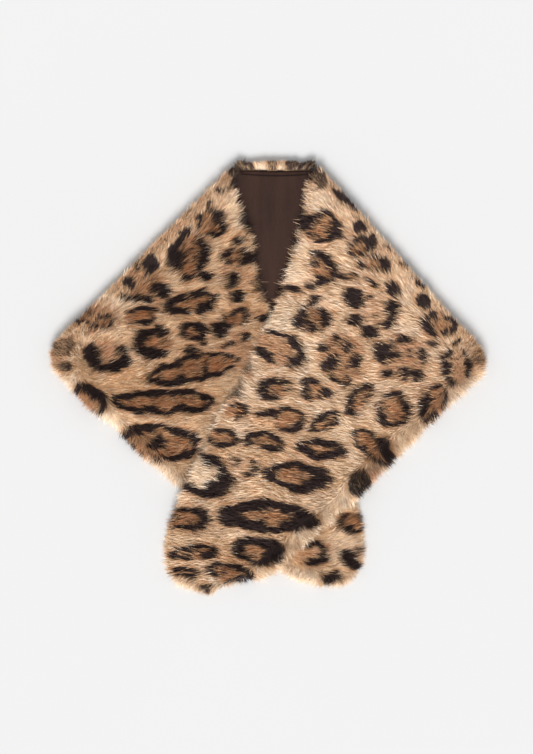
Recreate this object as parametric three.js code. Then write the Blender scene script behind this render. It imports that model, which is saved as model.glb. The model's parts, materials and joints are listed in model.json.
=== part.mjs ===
// Fur collar wrap, laid flat with its two fronts crossed.
// X runs to the right, Y up towards the neck, Z up from the surface that the wrap lies on.
// The back lies fur side down, its lining up. The strip is folded over at both shoulders,
// and the fronts come forward fur side up: the left front first, the right front over it.
import * as THREE from "three";

// Cloth and pile, in millimetres
const FUR_WALL = 13; // backing and loose pile of a front
const PRESSED_FUR = 9; // backing and pile of the back, pressed by its own weight
const NECK_RIM = 12.5; // pile that turns over the neck edge
const LINING = 1;
const GAP = 0.3; // between pieces at seams and where they lie on each other
const LINING_TOP = PRESSED_FUR + GAP + LINING;
const FOLD_AXIS_HEIGHT = LINING_TOP;

// How the pile rounds off
const EDGE_ROUND = 16;
const FOLD_END_ROUND = 9;
const EDGE_THICKNESS_SHARE = 0.3;
const EDGE_LIFT_SHARE = 0.14;
const TIP_ROUND = 20;
const TIP_BLUNTNESS = 4;
const NARROWEST_ROUND_SHARE = 1 / 3; // of the width, where a tail narrows to its tip
const PRESSED_EDGE_SHARE = 0.35; // height that is left at the back's outer edge
const PRESSED_LIFT_SHARE = 0.2;
const RIM_FOOT_SHARE = 0.45; // height of the neck rim at its outermost line

// How a front leaves what it lies on
const LEAVE_BACK = 46; // run in which a front comes down from the back's edge to the surface
const DRAPE_SLOPE = 0.42; // steepest slope of the upper front beside the lower one
const DRAPE_REACH = 9; // level run past each point of the lower front
const DRAPE_CLEARANCE = 1;

// The back's outer edge is one arc about a centre just above the neck
const BACK_CENTRE = { x: 0, y: 350 };
const BACK_RADIUS = 430;
const CORNER_SHARE = 0.12; // part of the arc, at each end, in which it runs to the corner
const NECK_REACH = 7; // how far the neck edge runs on past the inner end of a fold
const NECK_BOW = 10; // rise of the neck edge between the folds
const RIM_WIDTH_AT_FOLD = 6;
const RIM_WIDTH_AT_MIDDLE = 15;
const RIM_FREE_SHARE = 0.16; // part of the neck edge, at each end, where the rim sinks under a fold
const LINING_INSET = 20;

// The pressed band along the lining's neck edge
const BAND_WIDTH = 6;
const BAND_THICKNESS = 0.8;
const BAND_FROM_RIM = 1.2;
const BAND_SHARE = { start: 0.07, end: 0.9 };

// Numbers of mesh steps
const ROLL_STEPS = 8;
const FRONT_STEPS = 32;
const FRONT_COLUMNS = 15;
const BACK_STEPS = 18;
const BACK_COLUMNS = 8;
const BAND_STEPS = 10;
const COVER_STEPS = 90;
const COVER_COLUMNS = 60;
const EDGE_DENSITY = 0.75; // 0 spreads a strip's columns evenly, 1 crowds them most at its edges
const RIM_STEPS = [0, 0.12, 0.35, 0.65, 0.9, 1];

// Sections of the right front, which lies over: each row runs across the strip
// from its inner edge to its outer edge. The first row is the axis of the shoulder fold.
const RIGHT_SECTIONS = [
  { innerX: 60, innerY: 281, outerX: 289, outerY: 22 },
  { innerX: 53, innerY: 264, outerX: 300, outerY: 14 },
  { innerX: 47, innerY: 243, outerX: 291, outerY: -4 },
  { innerX: 39, innerY: 216, outerX: 269, outerY: -18 },
  { innerX: 31, innerY: 179, outerX: 243, outerY: -44 },
  { innerX: 17, innerY: 134, outerX: 213, outerY: -73 },
  { innerX: -2, innerY: 88, outerX: 183, outerY: -101 },
  { innerX: -21, innerY: 39, outerX: 154, outerY: -130 },
  { innerX: -40, innerY: -7, outerX: 124, outerY: -161 },
  { innerX: -66, innerY: -40, outerX: 100, outerY: -182 },
  { innerX: -82, innerY: -81, outerX: 74, outerY: -203 },
  { innerX: -107, innerY: -121, outerX: 51, outerY: -224 },
  { innerX: -124, innerY: -163, outerX: 28, outerY: -245 },
  { innerX: -138, innerY: -203, outerX: 3, outerY: -266 },
  { innerX: -142, innerY: -241, outerX: -29, outerY: -280 },
  { innerX: -131, innerY: -271, outerX: -58, outerY: -291 },
  { innerX: -113, innerY: -287, outerX: -80, outerY: -296 },
];

// Sections of the left front, which lies under
const LEFT_SECTIONS = [
  { innerX: -38, innerY: 281, outerX: -288, outerY: 31 },
  { innerX: -40, innerY: 266, outerX: -300, outerY: 20 },
  { innerX: -30, innerY: 241, outerX: -292, outerY: 3 },
  { innerX: -19, innerY: 213, outerX: -276, outerY: -11 },
  { innerX: -13, innerY: 177, outerX: -247, outerY: -39 },
  { innerX: -4, innerY: 134, outerX: -214, outerY: -70 },
  { innerX: 12, innerY: 90, outerX: -182, outerY: -100 },
  { innerX: 31, innerY: 41, outerX: -149, outerY: -129 },
  { innerX: 54, innerY: -3, outerX: -116, outerY: -157 },
  { innerX: 76, innerY: -41, outerX: -84, outerY: -184 },
  { innerX: 94, innerY: -79, outerX: -51, outerY: -211 },
  { innerX: 111, innerY: -117, outerX: -18, outerY: -237 },
  { innerX: 124, innerY: -158, outerX: 14, outerY: -261 },
  { innerX: 132, innerY: -194, outerX: 41, outerY: -276 },
  { innerX: 134, innerY: -228, outerX: 67, outerY: -281 },
  { innerX: 126, innerY: -253, outerX: 86, outerY: -280 },
  { innerX: 114, innerY: -267, outerX: 100, outerY: -275 },
];

// Long-pile fur cloth, dry and matt
const furMaterial = (colour) =>
  new THREE.MeshStandardMaterial({ color: colour, roughness: 0.95, metalness: 0 });
const overFur = furMaterial("#c99c6c");
const underFur = furMaterial("#bd9060");
const backFur = furMaterial("#b38657");
// Satin-backed woven lining, a soft gloss
const liningCloth = new THREE.MeshStandardMaterial({ color: "#4a3831", roughness: 0.55, metalness: 0 });
const bandCloth = new THREE.MeshStandardMaterial({ color: "#3d2d27", roughness: 0.6, metalness: 0 });

const lerp = THREE.MathUtils.lerp;
const smoothstep = THREE.MathUtils.smoothstep;

// Rises from 0 at an edge to 1 at the given distance from it, as a quarter circle does
function rounded(distance, reach) {
  const open = 1 - Math.min(Math.max(distance / reach, 0), 1);
  return Math.sqrt(1 - open * open);
}

// Shares 0 to 1 across a strip, close together near both edges
function edgeDenseShares(count) {
  return Array.from({ length: count + 1 }, (_, i) => {
    const share = i / count;
    const eased = (1 - Math.cos(Math.PI * share)) / 2;
    return lerp(share, eased, EDGE_DENSITY);
  });
}

// A closed wall between an upper and a lower grid of points, both [row][column]
function wall(name, upper, lower, material) {
  const rows = upper.length;
  const columns = upper[0].length;
  const points = [...upper.flat(), ...lower.flat()];
  const top = (row, column) => row * columns + column;
  const bottom = (row, column) => rows * columns + row * columns + column;
  const faces = [];
  const quad = (a, b, c, d) => faces.push(a, b, c, a, c, d);
  for (let r = 0; r < rows - 1; r += 1) {
    for (let c = 0; c < columns - 1; c += 1) {
      quad(top(r, c), top(r + 1, c), top(r + 1, c + 1), top(r, c + 1));
      quad(bottom(r, c), bottom(r, c + 1), bottom(r + 1, c + 1), bottom(r + 1, c));
    }
    quad(top(r, 0), bottom(r, 0), bottom(r + 1, 0), top(r + 1, 0));
    quad(top(r, columns - 1), top(r + 1, columns - 1), bottom(r + 1, columns - 1), bottom(r, columns - 1));
  }
  for (let c = 0; c < columns - 1; c += 1) {
    quad(top(0, c), top(0, c + 1), bottom(0, c + 1), bottom(0, c));
    quad(top(rows - 1, c), bottom(rows - 1, c), bottom(rows - 1, c + 1), top(rows - 1, c + 1));
  }
  const geometry = new THREE.BufferGeometry();
  geometry.setAttribute(
    "position",
    new THREE.Float32BufferAttribute(points.flatMap((p) => [p.x, p.y, p.z]), 3),
  );
  geometry.setIndex(volumeOf(points, faces) < 0 ? turnedRound(faces) : faces);
  geometry.computeVertexNormals();
  const mesh = new THREE.Mesh(geometry, material);
  mesh.name = name;
  return mesh;
}

// Six times the signed volume inside a closed set of faces
function volumeOf(points, faces) {
  let sum = 0;
  for (let i = 0; i < faces.length; i += 3) {
    const [a, b, c] = [points[faces[i]], points[faces[i + 1]], points[faces[i + 2]]];
    sum += a.dot(b.clone().cross(c));
  }
  return sum;
}

function turnedRound(faces) {
  const turned = [];
  for (let i = 0; i < faces.length; i += 3) turned.push(faces[i], faces[i + 2], faces[i + 1]);
  return turned;
}

// Height of a front's underside over the back: level on it, then down to the surface past its edge
function overBack(x, y) {
  const past = Math.hypot(x - BACK_CENTRE.x, y - BACK_CENTRE.y) - BACK_RADIUS;
  return (LINING_TOP + GAP) * (1 - smoothstep(past, 2, LEAVE_BACK));
}

// The two edges of a strip as smooth curves through its sections
function edgeCurves(sections) {
  const inner = sections.map((s) => new THREE.Vector3(s.innerX, s.innerY, 0));
  const outer = sections.map((s) => new THREE.Vector3(s.outerX, s.outerY, 0));
  return {
    inner: new THREE.CatmullRomCurve3(inner, false, "centripetal"),
    outer: new THREE.CatmullRomCurve3(outer, false, "centripetal"),
  };
}

// Upper and lower point of a front at a share along it and a share across it
function frontPoint(curves, along, across, underside) {
  const inner = curves.inner.getPoint(along);
  const outer = curves.outer.getPoint(along);
  const place = inner.clone().lerp(outer, across);
  const width = inner.distanceTo(outer);
  const fromEdge = Math.min(across, 1 - across) * width;
  const fromTip = (1 - along) * curves.inner.getLength();
  const edgeReach = Math.min(EDGE_ROUND, width * NARROWEST_ROUND_SHARE);
  const fullness = rounded(fromEdge, edgeReach) * rounded(fromTip + TIP_BLUNTNESS, TIP_ROUND);
  const base = underside(place.x, place.y);
  const lift = FUR_WALL * EDGE_LIFT_SHARE * (1 - fullness);
  const thickness = FUR_WALL * lerp(EDGE_THICKNESS_SHARE, 1, fullness);
  return {
    upper: new THREE.Vector3(place.x, place.y, base + thickness),
    lower: new THREE.Vector3(place.x, place.y, base + lift),
  };
}

// The same for the half turn at the shoulder, from under the fold axis to over it
function foldPoint(curves, turn, across) {
  const inner = curves.inner.getPoint(0);
  const outer = curves.outer.getPoint(0);
  const width = inner.distanceTo(outer);
  const outward = new THREE.Vector3(outer.y - inner.y, inner.x - outer.x, 0).normalize();
  if (outward.y < 0) outward.negate();
  const angle = lerp(-Math.PI / 2, Math.PI / 2, turn);
  const fromEdge = Math.min(across, 1 - across) * width;
  const fullness = rounded(fromEdge, FOLD_END_ROUND);
  const lift = FUR_WALL * EDGE_LIFT_SHARE * (1 - fullness);
  const reach = lerp(FOLD_AXIS_HEIGHT, GAP + FUR_WALL, turn) * lerp(EDGE_THICKNESS_SHARE, 1, fullness);
  const axis = inner.clone().lerp(outer, across).setZ(FOLD_AXIS_HEIGHT);
  const at = (radius) =>
    axis
      .clone()
      .addScaledVector(outward, radius * Math.cos(angle))
      .add(new THREE.Vector3(0, 0, radius * Math.sin(angle)));
  return { upper: at(reach), lower: at(GAP + lift) };
}

// One front: half turn at the shoulder, then the strip to its rounded tail
function front(name, sections, underside, material) {
  const curves = edgeCurves(sections);
  const shares = edgeDenseShares(FRONT_COLUMNS);
  const rows = [];
  for (let i = 0; i < ROLL_STEPS; i += 1) {
    rows.push(shares.map((across) => foldPoint(curves, i / ROLL_STEPS, across)));
  }
  for (let i = 0; i <= FRONT_STEPS; i += 1) {
    rows.push(shares.map((across) => frontPoint(curves, i / FRONT_STEPS, across, underside)));
  }
  const upper = rows.map((row) => row.map((point) => point.upper));
  const lower = rows.map((row) => row.map((point) => point.lower));
  return wall(name, upper, lower, material);
}

// Height that clears a front which lies below: each of its upper points moved out and sloped off
function overFront(sections, underside) {
  const curves = edgeCurves(sections);
  const cover = [];
  for (let i = 0; i <= COVER_STEPS; i += 1) {
    for (let j = 0; j <= COVER_COLUMNS; j += 1) {
      cover.push(frontPoint(curves, i / COVER_STEPS, j / COVER_COLUMNS, underside).upper);
    }
  }
  return (x, y) => {
    let height = overBack(x, y);
    for (const point of cover) {
      const distance = Math.max(Math.hypot(x - point.x, y - point.y) - DRAPE_REACH, 0);
      height = Math.max(height, point.z + DRAPE_CLEARANCE - DRAPE_SLOPE * distance);
    }
    return height;
  };
}

// Neck edge and outer arc of the back, at a share from its left side to its right side
function backEdges(share) {
  const sideEnds = [LEFT_SECTIONS[0], RIGHT_SECTIONS[0]].map((section) => {
    const inner = new THREE.Vector2(section.innerX, section.innerY);
    const outer = new THREE.Vector2(section.outerX, section.outerY);
    const along = inner.clone().sub(outer).normalize();
    const inward = new THREE.Vector2(along.y, -along.x).multiplyScalar(section === LEFT_SECTIONS[0] ? 1 : -1);
    const neck = inner.clone().addScaledVector(along, NECK_REACH).addScaledVector(inward, GAP);
    return { neck, outer: outer.clone().addScaledVector(inward, GAP) };
  });
  const [left, right] = sideEnds;
  const angleOf = (p) => Math.atan2(p.y - BACK_CENTRE.y, p.x - BACK_CENTRE.x);
  const angle = lerp(angleOf(left.outer), angleOf(right.outer), share);
  const sideRadius = (p) => Math.hypot(p.x - BACK_CENTRE.x, p.y - BACK_CENTRE.y);
  const endRadius = lerp(sideRadius(left.outer), sideRadius(right.outer), share);
  const radius = lerp(endRadius, BACK_RADIUS, smoothstep(Math.min(share, 1 - share), 0, CORNER_SHARE));
  const neck = left.neck.clone().lerp(right.neck, share);
  neck.y += NECK_BOW * Math.sin(Math.PI * share);
  return {
    neck,
    rimWidth: lerp(RIM_WIDTH_AT_FOLD, RIM_WIDTH_AT_MIDDLE, Math.sin(Math.PI * share)),
    outer: new THREE.Vector2(
      BACK_CENTRE.x + radius * Math.cos(angle),
      BACK_CENTRE.y + radius * Math.sin(angle),
    ),
  };
}

// A point on the back at a distance from the neck edge, and a height
function backPoint(edges, distance, height) {
  const along = edges.outer.clone().sub(edges.neck).normalize();
  return new THREE.Vector3(
    edges.neck.x + along.x * distance,
    edges.neck.y + along.y * distance,
    height,
  );
}

// The back's fur, pile down: flat underneath, with the pile turned up round the neck edge
function backPanel() {
  const upper = [];
  const lower = [];
  for (let i = 0; i <= BACK_STEPS; i += 1) {
    const share = i / BACK_STEPS;
    const edges = backEdges(share);
    const depth = edges.neck.distanceTo(edges.outer);
    const free = smoothstep(Math.min(share, 1 - share), 0, RIM_FREE_SHARE);
    const rim = RIM_STEPS.map((part) => part * edges.rimWidth);
    const panel = edgeDenseShares(BACK_COLUMNS).slice(1).map((part) => lerp(edges.rimWidth, depth, part));
    const topHeight = (distance) => {
      if (distance < edges.rimWidth) {
        const part = distance / edges.rimWidth;
        const hump = lerp(PRESSED_FUR, NECK_RIM, free) * Math.sqrt(Math.max(Math.sin(Math.PI * part), 0));
        return Math.max(hump, part < 0.5 ? PRESSED_FUR * RIM_FOOT_SHARE : PRESSED_FUR);
      }
      return PRESSED_FUR * lerp(PRESSED_EDGE_SHARE, 1, rounded(depth - distance, EDGE_ROUND));
    };
    const distances = [...rim, ...panel];
    upper.push(distances.map((distance) => backPoint(edges, distance, topHeight(distance))));
    lower.push(
      distances.map((distance) => {
        const fromEdge = Math.min(distance, depth - distance);
        const lift = PRESSED_FUR * PRESSED_LIFT_SHARE * (1 - rounded(fromEdge, EDGE_ROUND / 2));
        return backPoint(edges, distance, lift);
      }),
    );
  }
  return wall("back_fur", upper, lower, backFur);
}

// The lining's back panel, on the back's skin side
function backLining() {
  const shares = Array.from({ length: BACK_STEPS + 1 }, (_, i) => i / BACK_STEPS);
  const low = PRESSED_FUR + GAP;
  const sheet = (height) =>
    shares.map((share) => {
      const edges = backEdges(share);
      const depth = edges.neck.distanceTo(edges.outer);
      const start = edges.rimWidth + GAP;
      return Array.from({ length: BACK_COLUMNS + 1 }, (_, j) =>
        backPoint(edges, lerp(start, depth - LINING_INSET, j / BACK_COLUMNS), height),
      );
    });
  return wall("back_lining", sheet(low + LINING), sheet(low), liningCloth);
}

// The pressed and stitched band along the lining's neck edge
function neckBand() {
  const low = LINING_TOP + GAP;
  const strip = (height) =>
    Array.from({ length: BAND_STEPS + 1 }, (_, i) => {
      const edges = backEdges(lerp(BAND_SHARE.start, BAND_SHARE.end, i / BAND_STEPS));
      const start = edges.rimWidth + BAND_FROM_RIM;
      return [start, start + BAND_WIDTH].map((distance) => backPoint(edges, distance, height));
    });
  return wall("neck_band", strip(low + BAND_THICKNESS), strip(low), bandCloth);
}

const wrap = new THREE.Group();
wrap.add(
  backPanel(),
  backLining(),
  neckBand(),
  front("left_front_fur", LEFT_SECTIONS, overBack, underFur),
  front("right_front_fur", RIGHT_SECTIONS, overFront(LEFT_SECTIONS, overBack), overFur),
);

export default wrap;
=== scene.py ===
import json
import math
from collections import namedtuple

import bpy
import numpy as np
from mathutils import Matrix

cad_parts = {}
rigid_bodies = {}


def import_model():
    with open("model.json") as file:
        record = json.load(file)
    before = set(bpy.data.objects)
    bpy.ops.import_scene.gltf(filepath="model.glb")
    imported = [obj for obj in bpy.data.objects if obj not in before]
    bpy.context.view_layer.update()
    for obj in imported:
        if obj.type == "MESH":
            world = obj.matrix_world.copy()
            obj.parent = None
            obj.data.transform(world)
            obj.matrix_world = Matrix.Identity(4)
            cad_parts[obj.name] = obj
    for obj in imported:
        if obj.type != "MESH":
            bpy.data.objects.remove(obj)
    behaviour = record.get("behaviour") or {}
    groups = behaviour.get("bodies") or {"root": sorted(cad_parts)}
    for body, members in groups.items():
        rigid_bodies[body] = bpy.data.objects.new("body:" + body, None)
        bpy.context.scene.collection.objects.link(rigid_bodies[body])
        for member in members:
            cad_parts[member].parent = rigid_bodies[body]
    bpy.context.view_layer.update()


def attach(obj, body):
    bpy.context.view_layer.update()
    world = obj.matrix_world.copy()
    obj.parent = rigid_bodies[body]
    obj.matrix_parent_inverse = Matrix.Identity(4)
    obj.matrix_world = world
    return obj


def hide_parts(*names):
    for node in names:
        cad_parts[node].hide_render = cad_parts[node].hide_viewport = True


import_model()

bl_info = {
    "name": "Fur collar wrap",
    "version": (1, 0, 0),
    "blender": (4, 5, 0),
    "location": "3D View > Sidebar > Wrap",
    "description": "Dresses the solids of a fur collar wrap with pile, lining and stitching",
    "category": "Object",
}

MM = 0.001

# Cloth and pile of the solids, in millimetres
FUR_WALL = 13
PRESSED_FUR = 9
LINING = 1
GAP = 0.3
LINING_TOP = PRESSED_FUR + GAP + LINING
EDGE_ROUND = 16
EDGE_THICKNESS_SHARE = 0.3
TIP_ROUND = 20
TIP_BLUNTNESS = 4
NARROWEST_ROUND_SHARE = 1 / 3

# How a front leaves what it lies on
LEAVE_BACK = 46
DRAPE_SLOPE = 0.42
DRAPE_REACH = 9
DRAPE_CLEARANCE = 1

# The back's outer arc and its neck edge
BACK_CENTRE = (0, 350)
BACK_RADIUS = 430
CORNER_SHARE = 0.12
NECK_REACH = 7
NECK_BOW = 10
RIM_WIDTH_AT_FOLD = 6
RIM_WIDTH_AT_MIDDLE = 15
LINING_INSET = 20
BAND_WIDTH = 6
BAND_FROM_RIM = 1.2
BAND_SHARE = (0.07, 0.9)
SEAMS = (0.0, 0.72, 0.9)  # shares of the band's width

# The cloth backing inside the pile
BACKING_LOW = 1.2  # above the underside of the solid
BACKING_TOP = 5.5
BACKING_EDGE_ROUND = 7
SHOULDER_INSET = 9
LINED_FROM_EDGE = 26
BACKING_WALL = 1.6  # at its edge
TIP_INSET_SHARE = 0.078
ROLL_ROWS = 9
FRONT_ROWS = 96
FRONT_COLUMNS = 48
BACK_ROWS = 60
BACK_COLUMNS = 40

# How the backing of a front lies within its edges, in millimetres of the strip's run
SHOULDER_RUN = (8, 60)
NECK_RUN = (190, 320)
OUTER_SHOULDER_INSET = 12
OUTER_SHOULDER_RUN = (0, 20)
TIP_SHARES = (0.8, 0.95)
MOST_INNER_INSET = 0.38  # share of the width
MOST_OUTER_INSET = 0.36

# Noises: size of a cell in millimetres, seed, and swing from lowest to highest
Noise = namedtuple("Noise", "cell seed swing")
WARP_ACROSS = (Noise(14, 11, 7.0), Noise(6, 12, 4.0))  # of the markings, in millimetres
WARP_ALONG = (Noise(14, 13, 7.0), Noise(6, 14, 4.0))
BACKING_WAVES = (Noise(55, 21, 1.6), Noise(22, 22, 0.8))
PARTING = Noise(30, 31, 12)  # of the line where the nap parts
SWIRLS = (Noise(34, 32, 0.65), Noise(13, 33, 0.5))  # of the nap, in radians
LIFT_NOISE = Noise(10, 34, 0.22)
PUCKER = Noise(7, 73, 0.12)

# Combing of a front, as distances over which one direction gives way to the next
NAP_HEIGHTS = (40, 190)
LOW_NAP_SHARE = 0.4
ALONG_FOLD = (6, 34)
ALONG_INNER = (16, 44)
ALONG_OUTER = (13, 33)
ALONG_TIP = (2, 18)
STRAND_LIFT = 0.33

# Reach of the strands, taken off where they stand up, at the fold, at the neck, tip and corner
UPRIGHT_LOSS = 0.3
FOLD_LOSS = 0.36
NECK_LOSS = 0.12
TIP_LOSS = 0.2
CORNER_LOSS = 0.22
NECK_HEM_REACH = 0.2
FOLD_RAGGED = 1.1
RIM_RAGGED = 0.6

# Sections across each front, from its inner edge to its outer edge, from the shoulder fold on,
# as read off the picture and turned into millimetres
Section = namedtuple("Section", "inner_x inner_y outer_x outer_y")
RIGHT_SECTIONS = [
    Section(60, 281, 289, 22),
    Section(53, 264, 300, 14),
    Section(47, 243, 291, -4),
    Section(39, 216, 269, -18),
    Section(31, 179, 243, -44),
    Section(17, 134, 213, -73),
    Section(-2, 88, 183, -101),
    Section(-21, 39, 154, -130),
    Section(-40, -7, 124, -161),
    Section(-66, -40, 100, -182),
    Section(-82, -81, 74, -203),
    Section(-107, -121, 51, -224),
    Section(-124, -163, 28, -245),
    Section(-138, -203, 3, -266),
    Section(-142, -241, -29, -280),
    Section(-131, -271, -58, -291),
    Section(-113, -287, -80, -296),
]
LEFT_SECTIONS = [
    Section(-38, 281, -288, 31),
    Section(-40, 266, -300, 20),
    Section(-30, 241, -292, 3),
    Section(-19, 213, -276, -11),
    Section(-13, 177, -247, -39),
    Section(-4, 134, -214, -70),
    Section(12, 90, -182, -100),
    Section(31, 41, -149, -129),
    Section(54, -3, -116, -157),
    Section(76, -41, -84, -184),
    Section(94, -79, -51, -211),
    Section(111, -117, -18, -237),
    Section(124, -158, 14, -261),
    Section(132, -194, 41, -276),
    Section(134, -228, 67, -281),
    Section(126, -253, 86, -280),
    Section(114, -267, 100, -275),
]

# How far the backing stays inside a front's edges, and from how far the pile fans at its corner
Fringe = namedtuple("Fringe", "neck tail outer tip fan")
LEFT_FRINGE = Fringe(27, 25, 18.5, 18, 50)
RIGHT_FRINGE = Fringe(26, 20, 16, 26, 44)

# The way that the pile is combed on each front, and where its parts meet on the table
LEFT_NAP = (1.0, 0.12)
RIGHT_NAP = (-1.0, 0.5)
LEFT_PARTS_AT = (68, 72)
RIGHT_PARTS_AT = (78, 82)
TAIL_PARTS_AT = (-82, -78)
COVERED_DEPTHS = (12, 22)  # inside the right front, over which the left one's pile ends

# The spotted coat is charted mark by mark, as the places, half sizes and tilts of its spots
# and rosettes in pixels of the picture, x right and y down. Noise draws their ragged outlines.
CHART_UNIT = 1.36  # millimetres a pixel
CHART_MIDDLE = (267.5, 378.5)  # the pixel at the middle of the table's x and y

Spot = namedtuple("Spot", "x y long short tilt depth", defaults=(0, 1))
Rosette = namedtuple("Rosette", "x y long short tilt ring thick gaps core", defaults=((), (), 0.85))
Patch = namedtuple("Patch", "x y long short core")  # brown among broken spots
Cream = namedtuple("Cream", "x y long short depth")  # where the ground is palest
FAINT = 0.5  # depth of a spot whose dark strands stand among pale ones
NARROW_GAP = 14
GAP_HALF_ANGLE = 24
RING_SHARE = 0.86  # of a ring's charted weight, as the fringe of the pile widens it
HALO = 6  # millimetres of brown outside a marking

# Spots along the V's inner edge, at (238, 182), (249, 220), (257, 255), (261, 284) and (268, 299), are partly
# painted shadow where the pile overhangs the lining, partly dark blotches
LEFT_SPOTS = [
    Spot(220, 191, 5, 3.5, -20), Spot(238, 182, 8, 9), Spot(249, 220, 7, 14, 10),
    Spot(210, 203, 4, 3, 60), Spot(238, 240, 7, 3), Spot(186, 233, 7, 4.5, -15), Spot(189, 277, 6, 4),
    Spot(206, 277, 7, 4), Spot(232, 281, 9, 5, 35), Spot(238, 296, 7, 6, -30), Spot(130, 283, 6, 6),
    Spot(126, 296, 9, 3, -25), Spot(153, 265, 8, 10), Spot(139, 265, 5, 6, 0, 0.6),
    Spot(161, 291, 11, 9, -20), Spot(142, 299, 12, 3, -10), Spot(262, 317, 5, 6), Spot(221, 330, 8, 7),
    Spot(245, 337, 6, 4), Spot(229, 346, 8, 2, 15), Spot(193, 352, 7, 4), Spot(204, 343, 4, 2),
    Spot(157, 442, 9, 6), Spot(176, 434, 2, 2), Spot(185, 255, 2, 2), Spot(185, 264, 2, 2),
    Spot(193, 262, 2, 2), Spot(193, 249, 2, 2), Spot(64, 347, 13, 9, 20, FAINT),
    Spot(66, 368, 9, 6, 0, 0.6), Spot(204, 369, 3, 8), Spot(351, 560, 13, 7, -35),
    Spot(330, 578, 10, 6, 10), Spot(359, 549, 4, 3), Spot(361, 510, 3, 10), Spot(257, 255, 5, 8, 0, 0.85),
    Spot(261, 284, 6, 9, 0, 0.8), Spot(268, 299, 5, 5, 0, 0.9), Spot(235, 170, 8, 5, 30, 0.7),
]
LEFT_ROSETTES = [
    Rosette(211, 224, 17, 14, -60, 6, (10,), (120, 230)),
    Rosette(190, 256, 22, 20, -80, 8, (180, -10), (90, 270)),
    Rosette(238, 258, 15, 9, 0, 6, (0, 180), (90, 270)),
    Rosette(192, 303, 27, 12, 10, 7, (0, 200), ((100, NARROW_GAP), (270, NARROW_GAP))),
    Rosette(143, 316, 16, 9, 28, 5, (), (200,)),
    Rosette(96, 320, 22, 9, -15, 4, (270,), (90,)),
    Rosette(236, 318, 15, 9, 25, 5, (), (280,)),
    Rosette(108, 356, 24, 16, -15, 9, (180, -35), ((90, 50),), 0.5),
    Rosette(154, 343, 18, 16, 10, 9, (180, 270), ((0, 35),)),
    Rosette(194, 332, 14, 10, 0, 8),
    Rosette(192, 370, 48, 13, 12, 5, (190,)),
    Rosette(164, 401, 51, 12, 0, 4.6, (0, 180)),
    Rosette(92, 399, 20, 14, -40, 9, (100, 20), ((230, 75),)),
    Rosette(160, 442, 40, 19, -5, 6, (160, 0), (240,)),
    Rosette(350, 522, 14, 10, 0, 5, (270,), (90,)),
    Rosette(313, 553, 17, 12, 20, 6, (10,), ((180, 60),), 0.35),
]
RIGHT_SPOTS = [
    Spot(309, 170, 8, 5), Spot(317, 178, 13, 8, -45, 0.62), Spot(345, 200, 17, 5, -42),
    Spot(359, 228, 6, 8), Spot(361, 265, 6, 3, 20), Spot(314, 264, 6, 3), Spot(318, 284, 11, 4, 30),
    Spot(370, 284, 7, 3, -20), Spot(390, 290, 6, 8), Spot(354, 299, 10, 11), Spot(294, 290, 9, 3, -15),
    Spot(314, 302, 10, 4, 25), Spot(354, 321, 7, 6), Spot(391, 309, 8, 6, -40), Spot(388, 323, 9, 5, 45),
    Spot(374, 316, 2, 2), Spot(369, 297, 2, 2), Spot(422, 302, 10, 6, -60), Spot(388, 248, 3, 3),
    Spot(371, 243, 6, 7), Spot(418, 284, 7, 3, -45), Spot(402, 265, 5, 4, -50, 0.6), Spot(368, 333, 9, 7),
    Spot(431, 343, 6, 3), Spot(456, 343, 4, 3), Spot(285, 381, 5, 2), Spot(287, 389, 4, 2),
    Spot(325, 394, 6, 5), Spot(267, 414, 10, 4, 10), Spot(359, 483, 12, 13, 0, 0.72),
    # Spots at (232, 391) and (246, 365) lie beside the upper front's inner edge: partly painted shadow cast
    # by that edge, partly dark hair
    Spot(232, 391, 10, 6, 50), Spot(183, 474, 6, 5), Spot(238, 460, 4, 3), Spot(253, 463, 3, 8),
    Spot(248, 474, 6, 3), Spot(176, 516, 4, 3), Spot(205, 588, 6, 4, -30), Spot(246, 365, 4, 11),
    Spot(312, 234, 3, 2), Spot(479, 358, 7, 9, 0, FAINT), Spot(323, 347, 7, 4), Spot(337, 338, 5, 3, -25),
    Spot(348, 346, 5, 5), Spot(329, 364, 9, 8, 40), Spot(357, 362, 6, 8), Spot(390, 345, 3, 5),
    Spot(405, 340, 7, 4), Spot(382, 354, 7, 11, 15), Spot(422, 356, 5, 8), Spot(386, 374, 6, 5),
    Spot(403, 374, 5, 6), Spot(416, 376, 7, 6), Spot(394, 357, 5, 4), Spot(410, 354, 2, 4),
    Spot(264, 356, 14, 4, -40), Spot(386, 450, 15, 7, -60), Spot(231, 517, 12, 9),
    Spot(304, 518, 14, 9, -15), Spot(320, 480, 11, 10), Spot(239, 546, 7, 6), Spot(275, 551, 9, 9),
    # The spots on the next line lie along the V's edge: partly painted shadow where the pile overhangs the
    # lining, partly dark blotches
    Spot(302, 218, 7, 12, 0, 0.75), Spot(292, 242, 5, 6, 0, 0.85), Spot(279, 292, 7, 7, 0, 0.7),
]
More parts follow.
